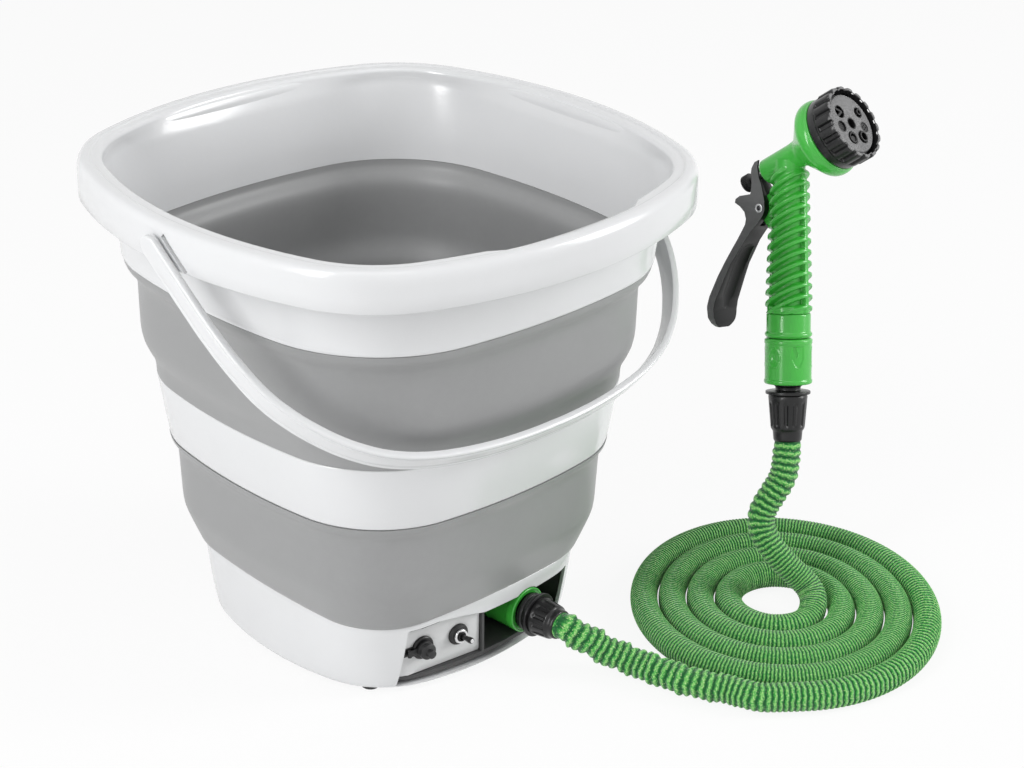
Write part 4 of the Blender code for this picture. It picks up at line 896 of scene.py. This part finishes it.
bail_line = [Vector((-x, -depth, 0)) for depth, x in BAIL_HALF]
bail_line += [Vector((-p.x, p.y, 0)) for p in bail_line[-2::-1]]
strap = smooth_path(bail_line, STRAP_STEP)
eye_steps = [EYE_R * math.sin(a) for a in np.linspace(QUARTER, 0, 9)[:-1]]
first_way = (strap[0] - strap[1]).normalized()
last_way = (strap[-1] - strap[-2]).normalized()
strap_points = [strap[0] + first_way * s for s in eye_steps] + strap
strap_points += [strap[-1] + last_way * s for s in eye_steps[::-1]]
widths = [max(EYE_TIP, math.sqrt(held(1 - (s / EYE_R) ** 2))) for s in eye_steps]
widths = widths + [1.0] * len(strap) + widths[::-1]
bail_rings = []
for i, (point, wide) in enumerate(zip(strap_points, widths)):
    way = (strap_points[min(i + 1, len(strap_points) - 1)] - strap_points[max(i - 1, 0)]).normalized()
    out = Vector((way.y, -way.x, 0))
    if out.dot(point - WITHIN_BAIL) < 0:
        out = -out
    near_eye = min(i, len(strap_points) - 1 - i) < len(eye_steps) + 3
    ring = []
    for side, depth in STRAP_SECTION:
        if side in GROOVES_AT and not near_eye:
            depth = GROOVE_DEEP
        flat = point - out * depth
        ring.append((flat.x, side * wide * BAIL_W / 2, flat.y))
    bail_rings.append(ring)
bail = solid("bail_white", [p for ring in bail_rings for p in ring],
             ring_faces(len(bail_rings), len(STRAP_SECTION)), 0.8, moved(0, 0, PIVOT_Z) @ hang)
dress(bail, white_gloss, "bail", "white_plastic", "bail_handle")
for side, name in ((-1, "left"), (1, "right")):
    across = moved(side * (EYE_X - BAIL_T), 0, PIVOT_Z) @ spun(side * QUARTER, "Y")
    stud = peg(f"bail_stud_{name}", STUD_R, -0.0105, 0.0010, across, soft=0.0006)
    dress(stud, white_gloss, "bail", "white_plastic")
    clip = moulded(f"bail_clip_{name}_white",
                   ((0.0062, -0.0077), (0.0062, -0.0097), (0.0040, -0.0097), (0.0040, -0.0077)),
                   0.0004, across, 32)
    dress(clip, white_gloss, "bail", "white_plastic", f"bail_clip_{name}")


# Front recess. A dark textured liner with a sill, and a pale panel set back in it. A faint step runs
# round the panel, where the moulding is thicker.
PANEL_TURN = math.radians(-6.8)
PANEL_MID = (-0.0420, -0.0982)
PANEL_T = 0.0024
PANEL_LOW, PANEL_HIGH = (-0.0345, 0.0101), (0.0325, 0.0448)
STEP_LOW, STEP_HIGH = (-0.0325, 0.0130), (0.0318, 0.0440)
SOCKET_X, SOCKET_Z = -0.0140, 0.0284
TOGGLE_X, TOGGLE_Z = 0.0148, 0.0283
panel_frame = moved(*PANEL_MID, 0) @ spun(PANEL_TURN, "Z") @ spun(QUARTER, "X")
socket_frame = panel_frame @ moved(SOCKET_X, SOCKET_Z, 0)
toggle_frame = panel_frame @ moved(TOGGLE_X, TOGGLE_Z, 0)


def plastic(name, dark, light, rough, grain_deep, grain_scale, gloss=0.4):
    """A moulded plastic with a fine spark-eroded grain and a cloudy tone."""
    made = Finish(name, Specular_IOR_Level=gloss)
    fine = made.noise(grain_scale, 3)
    tone = made.noise(45, 4, rough=0.65)
    made.set(Base_Color=made.mix((tone - 0.3) * 1.2, (*dark, 1), (*light, 1)),
             Roughness=rough + (tone - 0.5) * 0.2, Normal=made.bump(fine, grain_deep, 0.6))
    return made


dark_grain = plastic("dark_grain", (0.028, 0.028, 0.029), (0.050, 0.050, 0.051), 0.55, 0.00014, 1400)
sill_grey = plastic("sill_grey", (0.060, 0.060, 0.061), (0.105, 0.105, 0.106), 0.60, 0.00016, 1600)
panel_pale = plastic("panel_pale", (0.700, 0.705, 0.710), (0.760, 0.765, 0.770), 0.34, 0.00004, 1800)


def carried(name, finish):
    """A node whose own shape is right gets its finish."""
    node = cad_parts[name]
    node.data.materials.clear()
    node.data.materials.append(finish.material)
    shaded(node.data, 0.6)


carried("recess_liner", sill_grey)
panel = upright("panel_pale", rounded_profile(rectangle(PANEL_LOW, PANEL_HIGH), 0.0012, axis=False),
                -PANEL_T, 0.0, panel_frame)
step = upright("panel_step", rounded_profile(rectangle(STEP_LOW, STEP_HIGH), 0.0020, axis=False),
               -0.0005, 0.00035, panel_frame)
sleeve = [level(base_section(z), -WALL - GAP, z) for z in (0.0065, 0.030, BASE_H)]
inside = stacked("base_inside", [level(base_section(0.0), -0.0079, COVER_T + 0.0001), *sleeve], closed=False)
holes = (peg("socket_hole", 0.0058, -0.01, 0.005, socket_frame, 64),
         peg("toggle_hole", 0.0032, -0.01, 0.005, toggle_frame, 64))
shaped(panel, add=(step,), take=holes, keep=(inside,))
softened(panel, 0.00018, 0.6)
dress(panel, panel_pale, "base", "panel_plastic", "control_panel")


# Charging socket and its cap. A black ring with a barrel, closed by a rubber cap on a short strap; the
# cap sits slightly proud, so the bright contact inside catches the light.
rubber_black = plastic("rubber_black", (0.010, 0.010, 0.011), (0.022, 0.022, 0.023), 0.48, 0.00008, 1800, 0.5)
METAL_DARK = (0.62, 0.62, 0.63, 1)
METAL_PALE = (0.80, 0.80, 0.81, 1)
bright_metal = Finish("bright_metal", Metallic=1.0)
brushed = bright_metal.noise(900, 3)
bright_metal.set(Base_Color=bright_metal.mix(brushed, METAL_DARK, METAL_PALE),
                 Roughness=0.16 + brushed * 0.16)
ring = moulded("socket_ring_black",
               ((0.0040, 0.0022), (0.0044, 0.0026), (0.0074, 0.0026), (0.0082, 0.0020), (0.0082, GAP),
                (0.0055, GAP), (0.0055, -0.0092), (0.0040, -0.0092)), 0.0003, socket_frame, 72)
seat = block("strap_seat", (-0.0148, -0.0030, GAP), (-0.0060, 0.0030, 0.0014), socket_frame)
shaped(ring, add=(softened(seat, 0.0004),))
dress(ring, black_gloss, "base", "black_plastic", "charge_socket")
contact = peg("socket_contact", 0.0038, -0.0080, -0.0040, socket_frame)
dress(contact, bright_metal, "base", "steel")
cap_profile = ((0, 0.0132), (0.0022, 0.0131), (0.0029, 0.0127), (0.0031, 0.0120), (0.0030, 0.0104),
               (0.0031, 0.0094), (0.0035, 0.0091), (0.0050, 0.0089), (0.0055, 0.0085), (0.0057, 0.0078),
               (0.0058, 0.0058), (0.0055, 0.0055), (0.0055, 0.0051), (0.0058, 0.0048), (0.0058, 0.0030),
               (0.0054, 0.0027), (0.0029, 0.0027), (0.0029, -0.0008), (0.0026, -0.0010), (0, -0.0010))
cap = turned("socket_cap_rubber", cap_profile, socket_frame, 56)
cap_strap = block("cap_strap", (-0.0124, -0.0023, 0.0028), (-0.0040, 0.0023, 0.0042), socket_frame)
roll = peg("cap_roll", 0.0014, -0.0023, 0.0023,
           socket_frame @ moved(-0.0118, 0, 0.0034) @ spun(QUARTER, "X"), 24)
shaped(cap, add=(softened(cap_strap, 0.0005), roll))
dress(cap, rubber_black, "cap", "rubber", "charge_cap")


# Toggle switch. A rubber boot and a bright ring nut hold it in the panel; a black bat lever with a
# polished tip stands in their middle and tips up and down.
TOGGLE_TILT = math.radians(11)
TOGGLE_PIVOT = 0.0036
bat_frame = toggle_frame @ moved(0, 0, TOGGLE_PIVOT) @ spun(-TOGGLE_TILT, "X")
boot = moulded("switch_boot_rubber",
               ((0.0050, 0.0030), (0.0064, 0.0030), (0.0067, 0.0024), (0.0070, 0.0024), (0.0076, 0.0014),
                (0.0076, GAP), (0.0033, GAP), (0.0033, 0.0029)), 0.0003, toggle_frame, 72)
dress(boot, rubber_black, "base", "rubber", "switch_boot")
nut = moulded("switch_ring_nut",
              ((0.0034, 0.0052), (0.0047, 0.0052), (0.0051, 0.0047), (0.0051, 0.0031), (0.0033, 0.0031)),
              0.0002, toggle_frame)
dress(nut, bright_metal, "base", "steel", "switch_nut")
throat = turned("switch_throat_black",
                ((0.0023, 0.0062), (0.0030, 0.0062), (0.0030, 0.0016), (0.0014, 0.0016), (0.0018, 0.0030)),
                toggle_frame, 48)
dress(throat, black_gloss, "base", "dark_plastic")
bat = moulded("switch_bat_black",
              ((0, 0.0136), (0.0018, 0.0136), (0.0022, 0.0118), (0.0018, 0.0070), (0.0013, 0.0010),
               (0.0011, -0.0012), (0, -0.0016)), 0.0007, bat_frame, 48)
dress(bat, black_gloss, "toggle", "black_plastic", "switch_lever")
tip = turned("switch_tip", ((0, 0.01395), (0.0011, 0.01385), (0.0014, 0.0136), (0.0011, 0.0130), (0, 0.0130)),
             bat_frame, 32)
dress(tip, bright_metal, "toggle", "black_plastic")


# Outlet. The click connector in the notch of the base. Its green collar slides back on a black turned
# body to let the hose go.
GREEN = (0.045, 0.430, 0.045, 1)
GREEN_PALE = (0.072, 0.510, 0.062, 1)
green_gloss = Finish("green_gloss", Specular_IOR_Level=0.50, Coat_Weight=0.20, Coat_Roughness=0.06,
                     Subsurface_Weight=0.06, Subsurface_Radius=(0.002, 0.005, 0.002))
shade = green_gloss.noise(30, 3)
skin = green_gloss.noise(500, 2)
green_gloss.set(Base_Color=green_gloss.mix(shade - 0.3, GREEN, GREEN_PALE),
                Roughness=0.22 + (shade - 0.4) * 0.14, Normal=green_gloss.bump(skin, 0.00005, 0.5))
collar_profile = ((0.0124, -0.0006), (0.0144, -0.0004), (0.0150, 0.0), (0.0156, -0.0001), (0.0160, -0.0006),
                  (0.0160, -0.0058), (0.0157, -0.0064), (0.0157, -0.0238), (0.0160, -0.0244),
                  (0.0160, -0.0268), (0.0158, -0.0270), (0.0124, -0.0270))
collar = moulded("outlet_collar_green", collar_profile, 0.0003, outlet_frame, 96)
dress(collar, green_gloss, "outlet_release", "green_plastic", "outlet_collar")
body_profile = ((0.0120, -0.0004), (0.0120, -0.0290), (0.0095, -0.0300), (0.0095, -0.0370), (0.0073, -0.0370),
                (0.0073, -0.0300), (0.0050, -0.0298), (0.0050, -0.0202), (0.0082, -0.0200), (0.0082, -0.0010),
                (0.0090, -0.0004))
outlet_body = turned("outlet_body_black", body_profile, outlet_frame)
dress(outlet_body, black_gloss, "base", "black_plastic", "outlet_body")


# Inside the bucket and the base. The dark floor with its strainer, and below it the pump, the cells and
# their board, which only show when the base is open; screws and feet are under the cover.
cell_film = plastic("cell_film", (0.055, 0.130, 0.400), (0.080, 0.190, 0.520), 0.30, 0.00003, 700)
board_green = plastic("board_green", (0.010, 0.110, 0.040), (0.018, 0.160, 0.060), 0.42, 0.00006, 1200)
for names, finish in (
        (("bucket_floor", "inlet_strainer", "switch_body", "outlet_pipe", "pump_housing", "impeller",
          "battery_cradle"), dark_grain),
        (("bottom_cover",), white_gloss),
        (("foot_1", "foot_2", "foot_3", "foot_4", "pump_seal"), rubber_black),
        (("cover_screw_1", "cover_screw_2", "cover_screw_3", "cover_screw_4", "pump_motor", "pump_shaft"),
         bright_metal),
        (("battery_cell_1", "battery_cell_2"), cell_film),
        (("control_board",), board_green)):
    for name in names:
        carried(name, finish)


# Connector under the gun. A green collar with finger dimples and a shield-shaped press mark slides on
# the black core; above it the coupling screws to the grip.
DIMPLES = tuple(math.radians(a) for a in (-149.5, -91.5, 30.5, 88.5))
DIMPLE_Z, DIMPLE_HALF_W, DIMPLE_HALF_H = 0.0185, 0.0040, 0.0062
SHIELDS = (math.radians(-29.5), math.radians(150.5))
SHIELD_LOW, SHIELD_TOP, SHIELD_HALF = 0.0118, 0.0268, 0.0044
COLLAR_R, COLLAR_TOP = 0.0161, 0.0315


def turn_from(turn, middle):
    return (turn - middle + math.pi) % math.tau - math.pi


def collar_outside(z, turn):
    """The collar's radius: a low rim at each end, hollows for the fingers and a shield pressed in twice."""
    r = COLLAR_R + 0.0005 * fall(z, 0.0024, 0.0034) + 0.0004 * rise(z, 0.0272, 0.0284)
    r -= 0.0011 * fall(z, -0.0006, 0.0010) + 0.0016 * rise(z, 0.0303, 0.0320)
    for middle in DIMPLES:
        off = math.hypot(turn_from(turn, middle) * COLLAR_R / DIMPLE_HALF_W, (z - DIMPLE_Z) / DIMPLE_HALF_H)
        r -= 0.0011 * fall(off, 0.25, 1.0) - 0.00018 * bell(off, 1.08, 0.05, 0.10)
    for middle in SHIELDS:
        x = abs(turn_from(turn, middle)) * COLLAR_R
        wide = SHIELD_HALF * math.sqrt(held((z - SHIELD_LOW) / 0.0060))
        if SHIELD_LOW < z < SHIELD_TOP and x < wide:
            r -= 0.0006 * rise(min(wide - x, SHIELD_TOP - z), 0.0, 0.0006)
            tongue = 0.0011 * rise(z, 0.0190, 0.0262)
            r += 0.0007 * fall(x, tongue, tongue + 0.0004) * rise(z, 0.0188, 0.0196)
    return r


rows = np.concatenate([[0, 0.0003, 0.0008], np.linspace(0.0014, 0.0298, 84), [0.0305, 0.0311, COLLAR_TOP]])
gun_collar = wrapped("gun_collar_green", rows, 192, collar_outside, 0.0124, gun_frame, 0.8)
dress(gun_collar, green_gloss, "gun_release", "green_plastic", "gun_collar")
coupling_profile = ((0.0148, 0.0485), (0.01525, 0.0479), (0.01525, 0.0362), (0.0156, 0.0356),
                    (0.0162, 0.0350), (0.0163, 0.0342), (0.0162, 0.0334), (0.0156, 0.0328),
                    (0.0152, 0.0321), (0.0050, 0.0320), (0.0050, 0.0485))
coupling = moulded("gun_coupling_green", coupling_profile, 0.0003, gun_frame, 96, 0.8)
dress(coupling, green_gloss, "gun", "green_plastic", "gun_coupling")
core_profile = ((0.0120, 0.0317), (0.0120, 0.0006), (0.0082, 0.0006), (0.0082, 0.0195), (0.0050, 0.0198),
                (0.0050, 0.0317))
dress(turned("gun_core_black", core_profile, gun_frame), black_gloss, "gun", "black_plastic", "gun_core")


# Gun body. Green: a grip with slanted ribs that meet in a smooth strip at its front and its back, a bare
# neck, the bulb behind the dial, and the lug that the trigger swings on.
HEAD_Z, HEAD_TILT = 0.1539, math.radians(26)
GRIP_TOP = 0.1440
RIBS, RIB_PITCH, RIB_SLANT, RIB_TOP = 11, 0.0077, 0.0080, 0.1459
LUG_W = 0.0062
LUG = ((-0.0240, 0.1172), (-0.0225, 0.1247), (-0.0185, 0.1275), (-0.0080, 0.1370), (-0.0080, 0.1040),
       (-0.0150, 0.1060), (-0.0210, 0.1132))
BULB = ((0, 0.0384), (0.0258, 0.0384), (0.0262, 0.0378), (0.0262, 0.0370), (0.0265, 0.0367), (0.0272, 0.0352),
        (0.0275, 0.0320), (0.0265, 0.0285), (0.0205, 0.0225), (0.0145, 0.0165), (0.0102, 0.0120),
        (0.0092, 0.0050), (0.0090, -0.0202), (0.0078, -0.0218), (0, -0.0218))
LEVER_AT = (-0.0193, 0.1202)
PIN_HOLE_R = 0.0024
head_frame = gun_frame @ moved(0, 0, HEAD_Z) @ spun(QUARTER - HEAD_TILT, "Y")
side_on = gun_frame @ spun(QUARTER, "X")
trigger_frame = gun_frame @ moved(LEVER_AT[0], 0, LEVER_AT[1]) @ spun(QUARTER, "X")


def grip_outside(z, turn):
    """The grip's radius: a tapered core, slanted ribs, a strip at front and back and a plain foot."""
    t = held((GRIP_TOP - z) / (RIBS * RIB_PITCH))
    core, rib = 0.0106 + 0.0012 * t, 0.0134 + 0.0028 * t
    place = (z + RIB_SLANT * (1 - math.cos(turn)) - RIB_TOP) / RIB_PITCH
    lean = math.cos(math.atan(RIB_SLANT * abs(math.sin(turn)) / 0.0135))
    off = abs(place - round(place)) * RIB_PITCH * lean
    crest = fall(off, 0.0008, 0.0024) * fall(z, GRIP_TOP, 0.1490)
    across = min(abs(turn_from(turn, 0)), abs(turn_from(turn, math.pi))) * 0.0140
    strip = 0.88 * bell(across, 0, 0.0015, 0.0009) * fall(z, 0.1400, 0.1470)
    foot = 0.0149 * fall(z, 0.0538, 0.0552)
    return max(core + (rib - core) * max(crest, strip), foot) - 0.0005 * fall(z, 0.0486, 0.0494)


rows = np.concatenate([[0.0488, 0.0491], np.linspace(0.0496, HEAD_Z, 190)])
gun_shell = wrapped("gun_shell_green", rows, 112, grip_outside, 0.0046, gun_frame, 1.1)
bulb = moulded("gun_bulb", BULB, 0.0030, head_frame, 96, 0.9, 5)
lug = upright("gun_lug", LUG, -LUG_W / 2, LUG_W / 2, side_on)
shaped(gun_shell, add=(bulb, softened(lug, 0.0005)),
       take=(peg("rod_bore", 0.0029, -0.0300, 0.0270, head_frame),
             peg("lug_bore", PIN_HOLE_R, -0.0100, 0.0100, trigger_frame)), sharp=1.1)
dress(gun_shell, green_gloss, "gun", "green_plastic", "gun_body")


# Spray dial. A bare ring and eighteen lugs in black; the front of the lugs and the sunken face are a
# speckled grey. Each of the six outlets is a black well with its own insert.
DIAL_BACK, DIAL_STEP, DIAL_FRONT = 0.0388, 0.0444, 0.0584
DIAL_R, RING_R, FACE_R = 0.0266, 0.0257, 0.0237
DIAL_LUGS, LUG_DEEP = 18, 0.0020
DIAL_STEPS = DIAL_LUGS * 24
DIAL_LIP = 0.0007
FACE_BACK, FACE_TOP = DIAL_STEP - 0.0008, DIAL_FRONT - 0.0028
THROUGH_FACE = (-0.0400, 0.0060)
face_frame = head_frame @ moved(0, 0, FACE_TOP)

SPECK_DARK = (0.045, 0.045, 0.046, 1)
SPECK_PALE = (0.330, 0.330, 0.332, 1)
speckled = Finish("speckled_grey", Specular_IOR_Level=0.35)
speck = speckled.noise(2100, 2, rough=0.7)
patch = speckled.noise(60, 3)
speckled.set(Base_Color=speckled.mix((speck - 0.5) * 3.4 + 0.42 + (patch - 0.5) * 0.5,
                                     SPECK_DARK, SPECK_PALE),
             Roughness=0.55 + (speck - 0.5) * 0.3, Normal=speckled.bump(speck, 0.00016, 0.7))


def lug_shape(turn, reach):
    off = flute_off(turn, DIAL_LUGS)
    return DIAL_R - reach * rise(off, 0.25, 0.38) - 0.0003 * (min(off, 0.25) * 4) ** 2


def dial_outside(z, turn):
    """The dial's radius: a bare ring behind the step, lugs in front of it."""
    if z < DIAL_STEP:
        return RING_R - 0.0004 * fall(z, DIAL_BACK, DIAL_BACK + 0.0005)
    r = lug_shape(turn, LUG_DEEP * rise(z, DIAL_STEP + 0.0006, DIAL_STEP + 0.0020))
    r -= 0.0009 * fall(z, DIAL_STEP, DIAL_STEP + 0.0012)
    return r - 0.0006 * rise(z, DIAL_FRONT - 0.0024, DIAL_FRONT - DIAL_LIP)


def lip_outside(z, turn):
    return lug_shape(turn, LUG_DEEP) - 0.0006 - 0.0003 * rise(z, DIAL_FRONT - 0.0003, DIAL_FRONT)


rows = np.concatenate([[DIAL_BACK, DIAL_BACK + 0.0003, DIAL_BACK + 0.0006, DIAL_STEP - 0.00005, DIAL_STEP],
                       DIAL_STEP + np.linspace(0.0002, 0.0024, 8),
                       DIAL_FRONT - np.linspace(0.0090, DIAL_LIP, 12)])
spray_dial = wrapped("spray_dial_black", rows, DIAL_STEPS, dial_outside, 0.0215, head_frame, 0.7)
shaped(spray_dial, take=(peg("dial_hollow", FACE_R + GAP, FACE_BACK - GAP, DIAL_FRONT + 0.0080,
                             head_frame, 96),))
dress(spray_dial, black_gloss, "dial", "black_plastic", "spray_dial")
rows = (DIAL_FRONT - DIAL_LIP, DIAL_FRONT - 0.0003, DIAL_FRONT)
dial_lip = wrapped("dial_lip_grey", rows, DIAL_STEPS, lip_outside, FACE_R + GAP, head_frame, 0.7)
dress(dial_lip, speckled, "dial", "black_plastic")

WELLS = ((0.0048, -135, 0.0122), (0.0042, -81, 0.0121), (0.0048, -24, 0.0114), (0.0048, 35, 0.0124),
         (0.0039, 77, 0.0134), (0.0040, 123, 0.0143))
wells = [(r, head_frame @ spun(math.radians(degrees), "Z") @ moved(out, 0, FACE_TOP))
         for r, degrees, out in WELLS]
face_profile = ((0, 0.0), (0.0208, 0.0), (0.0212, -0.0004), (0.0218, -0.0036), (0.0230, -0.0050),
                (FACE_R, -0.0056), (FACE_R, FACE_BACK - FACE_TOP), (0, FACE_BACK - FACE_TOP))
dial_face = turned("dial_face_grey", face_profile, face_frame, 120)
shaped(dial_face, take=(peg("face_centre", 0.0044, *THROUGH_FACE, face_frame, 48),
                        *[peg(f"well_{i}", r, *THROUGH_FACE, place, 48)
                          for i, (r, place) in enumerate(wells)]))
softened(dial_face, 0.0003)
dress(dial_face, speckled, "dial", "dark_plastic", "dial_face")

CUP_TOP, CUP_FLOOR, CUP_BACK = -0.0002, -0.0040, -0.0070
INSERT_LOW = -0.0045
HOLE_PITCH = 0.0012


def cup(name, r, place):
    """A black lining for one outlet: a thin wall and a floor."""
    outer, inner = r - 0.00008, r - 0.0005
    return turned(name, ((0, CUP_FLOOR), (inner, CUP_FLOOR), (inner, CUP_TOP), (outer, CUP_TOP),
                         (outer, CUP_BACK), (0, CUP_BACK)), place, 64)


def tube(name, outer, inner, place, high=0.0006):
    profile = ((outer, INSERT_LOW), (outer, high), (inner, high), (inner, INSERT_LOW))
    return moulded(name, profile, 0.00015, place, 56)


linings = [cup(f"outlet_lining_{i}", r, place) for i, (r, place) in enumerate(wells)]
vee, mesh_disc, crescent, big_ring, four_holes, small_ring = linings
vee_at, mesh_at, crescent_at, big_at, four_at, small_at = [place for _, place in wells]
bar = ((-0.0033, 0.0007), (0.0033, 0.0007), (0.0033, -0.0007), (-0.0033, -0.0007))
shaped(vee, add=[upright(f"vee_{s}", bar, INSERT_LOW, -0.0003,
                         vee_at @ spun(math.radians(45 + 27 * s), "Z") @ moved(0.0006, 0.0012 * s, 0))
                 for s in (-1, 1)])
grid = [(x * HOLE_PITCH, y * HOLE_PITCH) for x in range(-2, 3) for y in range(-2, 3) if x * x + y * y < 6]
shaped(mesh_disc, add=(peg("mesh_plate", 0.0034, INSERT_LOW, -0.0010, mesh_at, 48),))
shaped(mesh_disc, take=[peg(f"spray_hole_{i}", 0.00036, -0.0022, 0.0010, mesh_at @ moved(x, y, 0), 10)
                        for i, (x, y) in enumerate(grid)])
shaped(crescent, add=(tube("crescent_tube", 0.0038, 0.0029, crescent_at),))
shaped(crescent, add=(peg("crescent_fill", 0.0025, INSERT_LOW, -0.0002,
                          crescent_at @ moved(0.0010, 0.0006, 0)),))
shaped(big_ring, add=(tube("ring_tube", 0.0037, 0.0028, big_at, 0.0012),))
shaped(four_holes, add=(peg("hole_plate", 0.0031, INSERT_LOW, -0.0004, four_at, 48),))
shaped(four_holes, take=[peg(f"jet_{i}", 0.0006, -0.0025, 0.0010,
                             four_at @ spun(QUARTER * i, "Z") @ moved(0.0015, 0, 0), 16) for i in range(4)])
shaped(small_ring, add=(tube("small_tube", 0.0022, 0.0014, small_at, 0.0010),))
for lining in linings:
    dress(lining, black_gloss, "dial", "dark_plastic")
centre = turned("dial_centre_black", ((0, -0.0034), (0.0036, -0.0034), (0.0036, -0.0001), (0.0043, -0.0001),
                                      (0.0043, -0.0060), (0, -0.0060)), face_frame, 64)
dress(centre, black_gloss, "dial", "steel", "dial_screw")


# Trigger. A grey forked lever on a hollow rivet. Its face towards the fingers is scooped out and, with the
# other faces that point neither sideways nor back, gets a near-black copy of the grey as painted shade; the
# sides stay lighter, and small ribs cross the back of the paddle.
LEVER = ((-0.0232, 0.1530), (-0.0238, 0.1482), (-0.0223, 0.1404), (-0.0176, 0.1310), (-0.0150, 0.1248),
         (-0.0147, 0.1193), (-0.0161, 0.1154), (-0.0199, 0.1105), (-0.0257, 0.1048), (-0.0316, 0.0974),
         (-0.0367, 0.0893), (-0.0420, 0.0810), (-0.0464, 0.0712), (-0.0506, 0.0613), (-0.0538, 0.0538),
         (-0.0549, 0.0480), (-0.0546, 0.0405), (-0.0556, 0.0355), (-0.0580, 0.0362), (-0.0600, 0.0420),
         (-0.0602, 0.0510), (-0.0586, 0.0576), (-0.0525, 0.0717), (-0.0463, 0.0832), (-0.0401, 0.0939),
         (-0.0346, 0.1029), (-0.0312, 0.1086), (-0.0304, 0.1125), (-0.0318, 0.1173), (-0.0357, 0.1211),
         (-0.0399, 0.1234), (-0.0398, 0.1260), (-0.0368, 0.1282), (-0.0280, 0.1296), (-0.0278, 0.1310),
         (-0.0292, 0.1438), (-0.0287, 0.1474), (-0.0263, 0.1515))
LEVER_HALF = ((0.0350, 0.0030), (0.0358, 0.0065), (0.0385, 0.0105), (0.0430, 0.0130), (0.0490, 0.0138),
              (0.0560, 0.0134), (0.0720, 0.0119), (0.0820, 0.0110), (0.0900, 0.0101), (0.0974, 0.0092),
              (0.1050, 0.0090), (0.1240, 0.0090), (0.1310, 0.0072), (0.1370, 0.0054), (0.1560, 0.0052))
HOLLOW = ((0, 0.0300), (0.0075, 0.0285), (0.0120, 0.0240), (0.0140, 0.0150), (0.0140, -0.0150),
          (0.0120, -0.0240), (0.0075, -0.0285), (0, -0.0300))
HOLLOW_TURN = math.radians(21.8)
FORK_SLOT = ((-0.0262, 0.1095), (-0.0100, 0.1000), (-0.0100, 0.1620), (-0.0600, 0.1620), (-0.0600, 0.1345),
             (-0.0272, 0.1290))
SLOT_HALF = LUG_W / 2 + 0.0004
GRIP_RIBS = 7
front_on = gun_frame @ Matrix(((0, 0, 1), (1, 0, 0), (0, 1, 0))).to_4x4()
lever_grey = plastic("lever_grey", (0.115, 0.115, 0.117), (0.155, 0.155, 0.157), 0.44, 0.00006, 1500, 0.45)
lever_painted_shade = plastic("lever_painted_shade", (0.006, 0.006, 0.0065), (0.011, 0.011, 0.0115), 0.40, 0.00005, 1500,
                      0.22)
lever = upright("trigger_lever_grey", LEVER, -0.0145, 0.0145, side_on)
front = [(half, z) for z, half in LEVER_HALF] + [(-half, z) for z, half in reversed(LEVER_HALF)]
hollow = moulded("finger_hollow", HOLLOW, 0.0040,
                 gun_frame @ moved(-0.0352, 0, 0.0665) @ spun(HOLLOW_TURN, "Y"), 72, points=4)
slot = upright("fork_slot", FORK_SLOT, -SLOT_HALF, SLOT_HALF, side_on)
shaped(lever, keep=(upright("lever_front", rounded_profile(front, 0.0040, 4), -0.0700, 0.0, front_on),),
       take=(slot, hollow, peg("knob_room", 0.0088, -0.0600, -0.0348, head_frame, 48),
             peg("lever_bore", PIN_HOLE_R, -0.0200, 0.0200, trigger_frame)))
softened(lever, 0.0007, 0.5, 3)
dress(lever, lever_grey, "trigger", "dark_plastic", "trigger_lever")
# Painted shade: faces that point neither sideways nor back take a near-black copy of the lever's grey, picked
# by the way each face points.
lever.data.materials.append(lever_painted_shade.material)
gun_ahead_way = gun_frame.to_3x3() @ Vector((1, 0, 0))
gun_side_way = gun_frame.to_3x3() @ Vector((0, 1, 0))
for face in lever.data.polygons:
    if abs(face.normal.dot(gun_side_way)) < 0.55 and face.normal.dot(gun_ahead_way) > -0.2:
        face.material_index = 1
for i in range(GRIP_RIBS):
    t = i / (GRIP_RIBS - 1)
    place = gun_frame @ moved(-0.0600 + 0.0052 * t, 0, 0.0515 + 0.0145 * t) @ spun(QUARTER, "X")
    rib = peg(f"lever_rib_{i}", 0.0009, -0.0100, 0.0100, place, 20, 0.0005)
    dress(rib, lever_grey, "trigger", "dark_plastic")
rivet_profile = [(0.0017, 0.0098), (0.0027, 0.0098), (0.0031, 0.0095), (0.0031, 0.0091), (0.0021, 0.0091)]
rivet_profile += [(r, -z) for r, z in reversed(rivet_profile)]
rivet = moulded("trigger_rivet", rivet_profile, 0.0003, trigger_frame, 48)
dress(rivet, bright_metal, "trigger", "steel", "trigger_pin")


# Valve rod and flow knob. The rod runs through the gun's tail to the lever's fork; the knob behind it
# has a finely knurled edge.
KNOB_FLUTES = 32
KNOB_BACK, KNOB_FRONT = -0.0414, -0.0354
rod = peg("valve_rod_steel", 0.0025, -0.0346, 0.0240, head_frame, 48, 0.0004)
dress(rod, bright_metal, "valve", "steel", "valve_rod")


def knob_outside(z, turn):
    r = 0.0061 - 0.0005 * rise(flute_off(turn, KNOB_FLUTES), 0.15, 0.40)
    return r - 0.0004 * bell(z, KNOB_BACK, 0.0, 0.0005) - 0.0004 * bell(z, KNOB_FRONT, 0.0, 0.0005)


rows = KNOB_BACK + np.linspace(0, 0.0060, 13)
knob = wrapped("flow_knob_black", rows, 256, knob_outside, 0.0018, head_frame, 0.9)
dress(knob, black_gloss, "knob", "dark_plastic", "flow_knob")
knob_end = peg("flow_knob_end", 0.0017, -0.0411, -0.0356, head_frame, 40, 0.0003)
dress(knob_end, lever_grey, "knob", "dark_plastic")
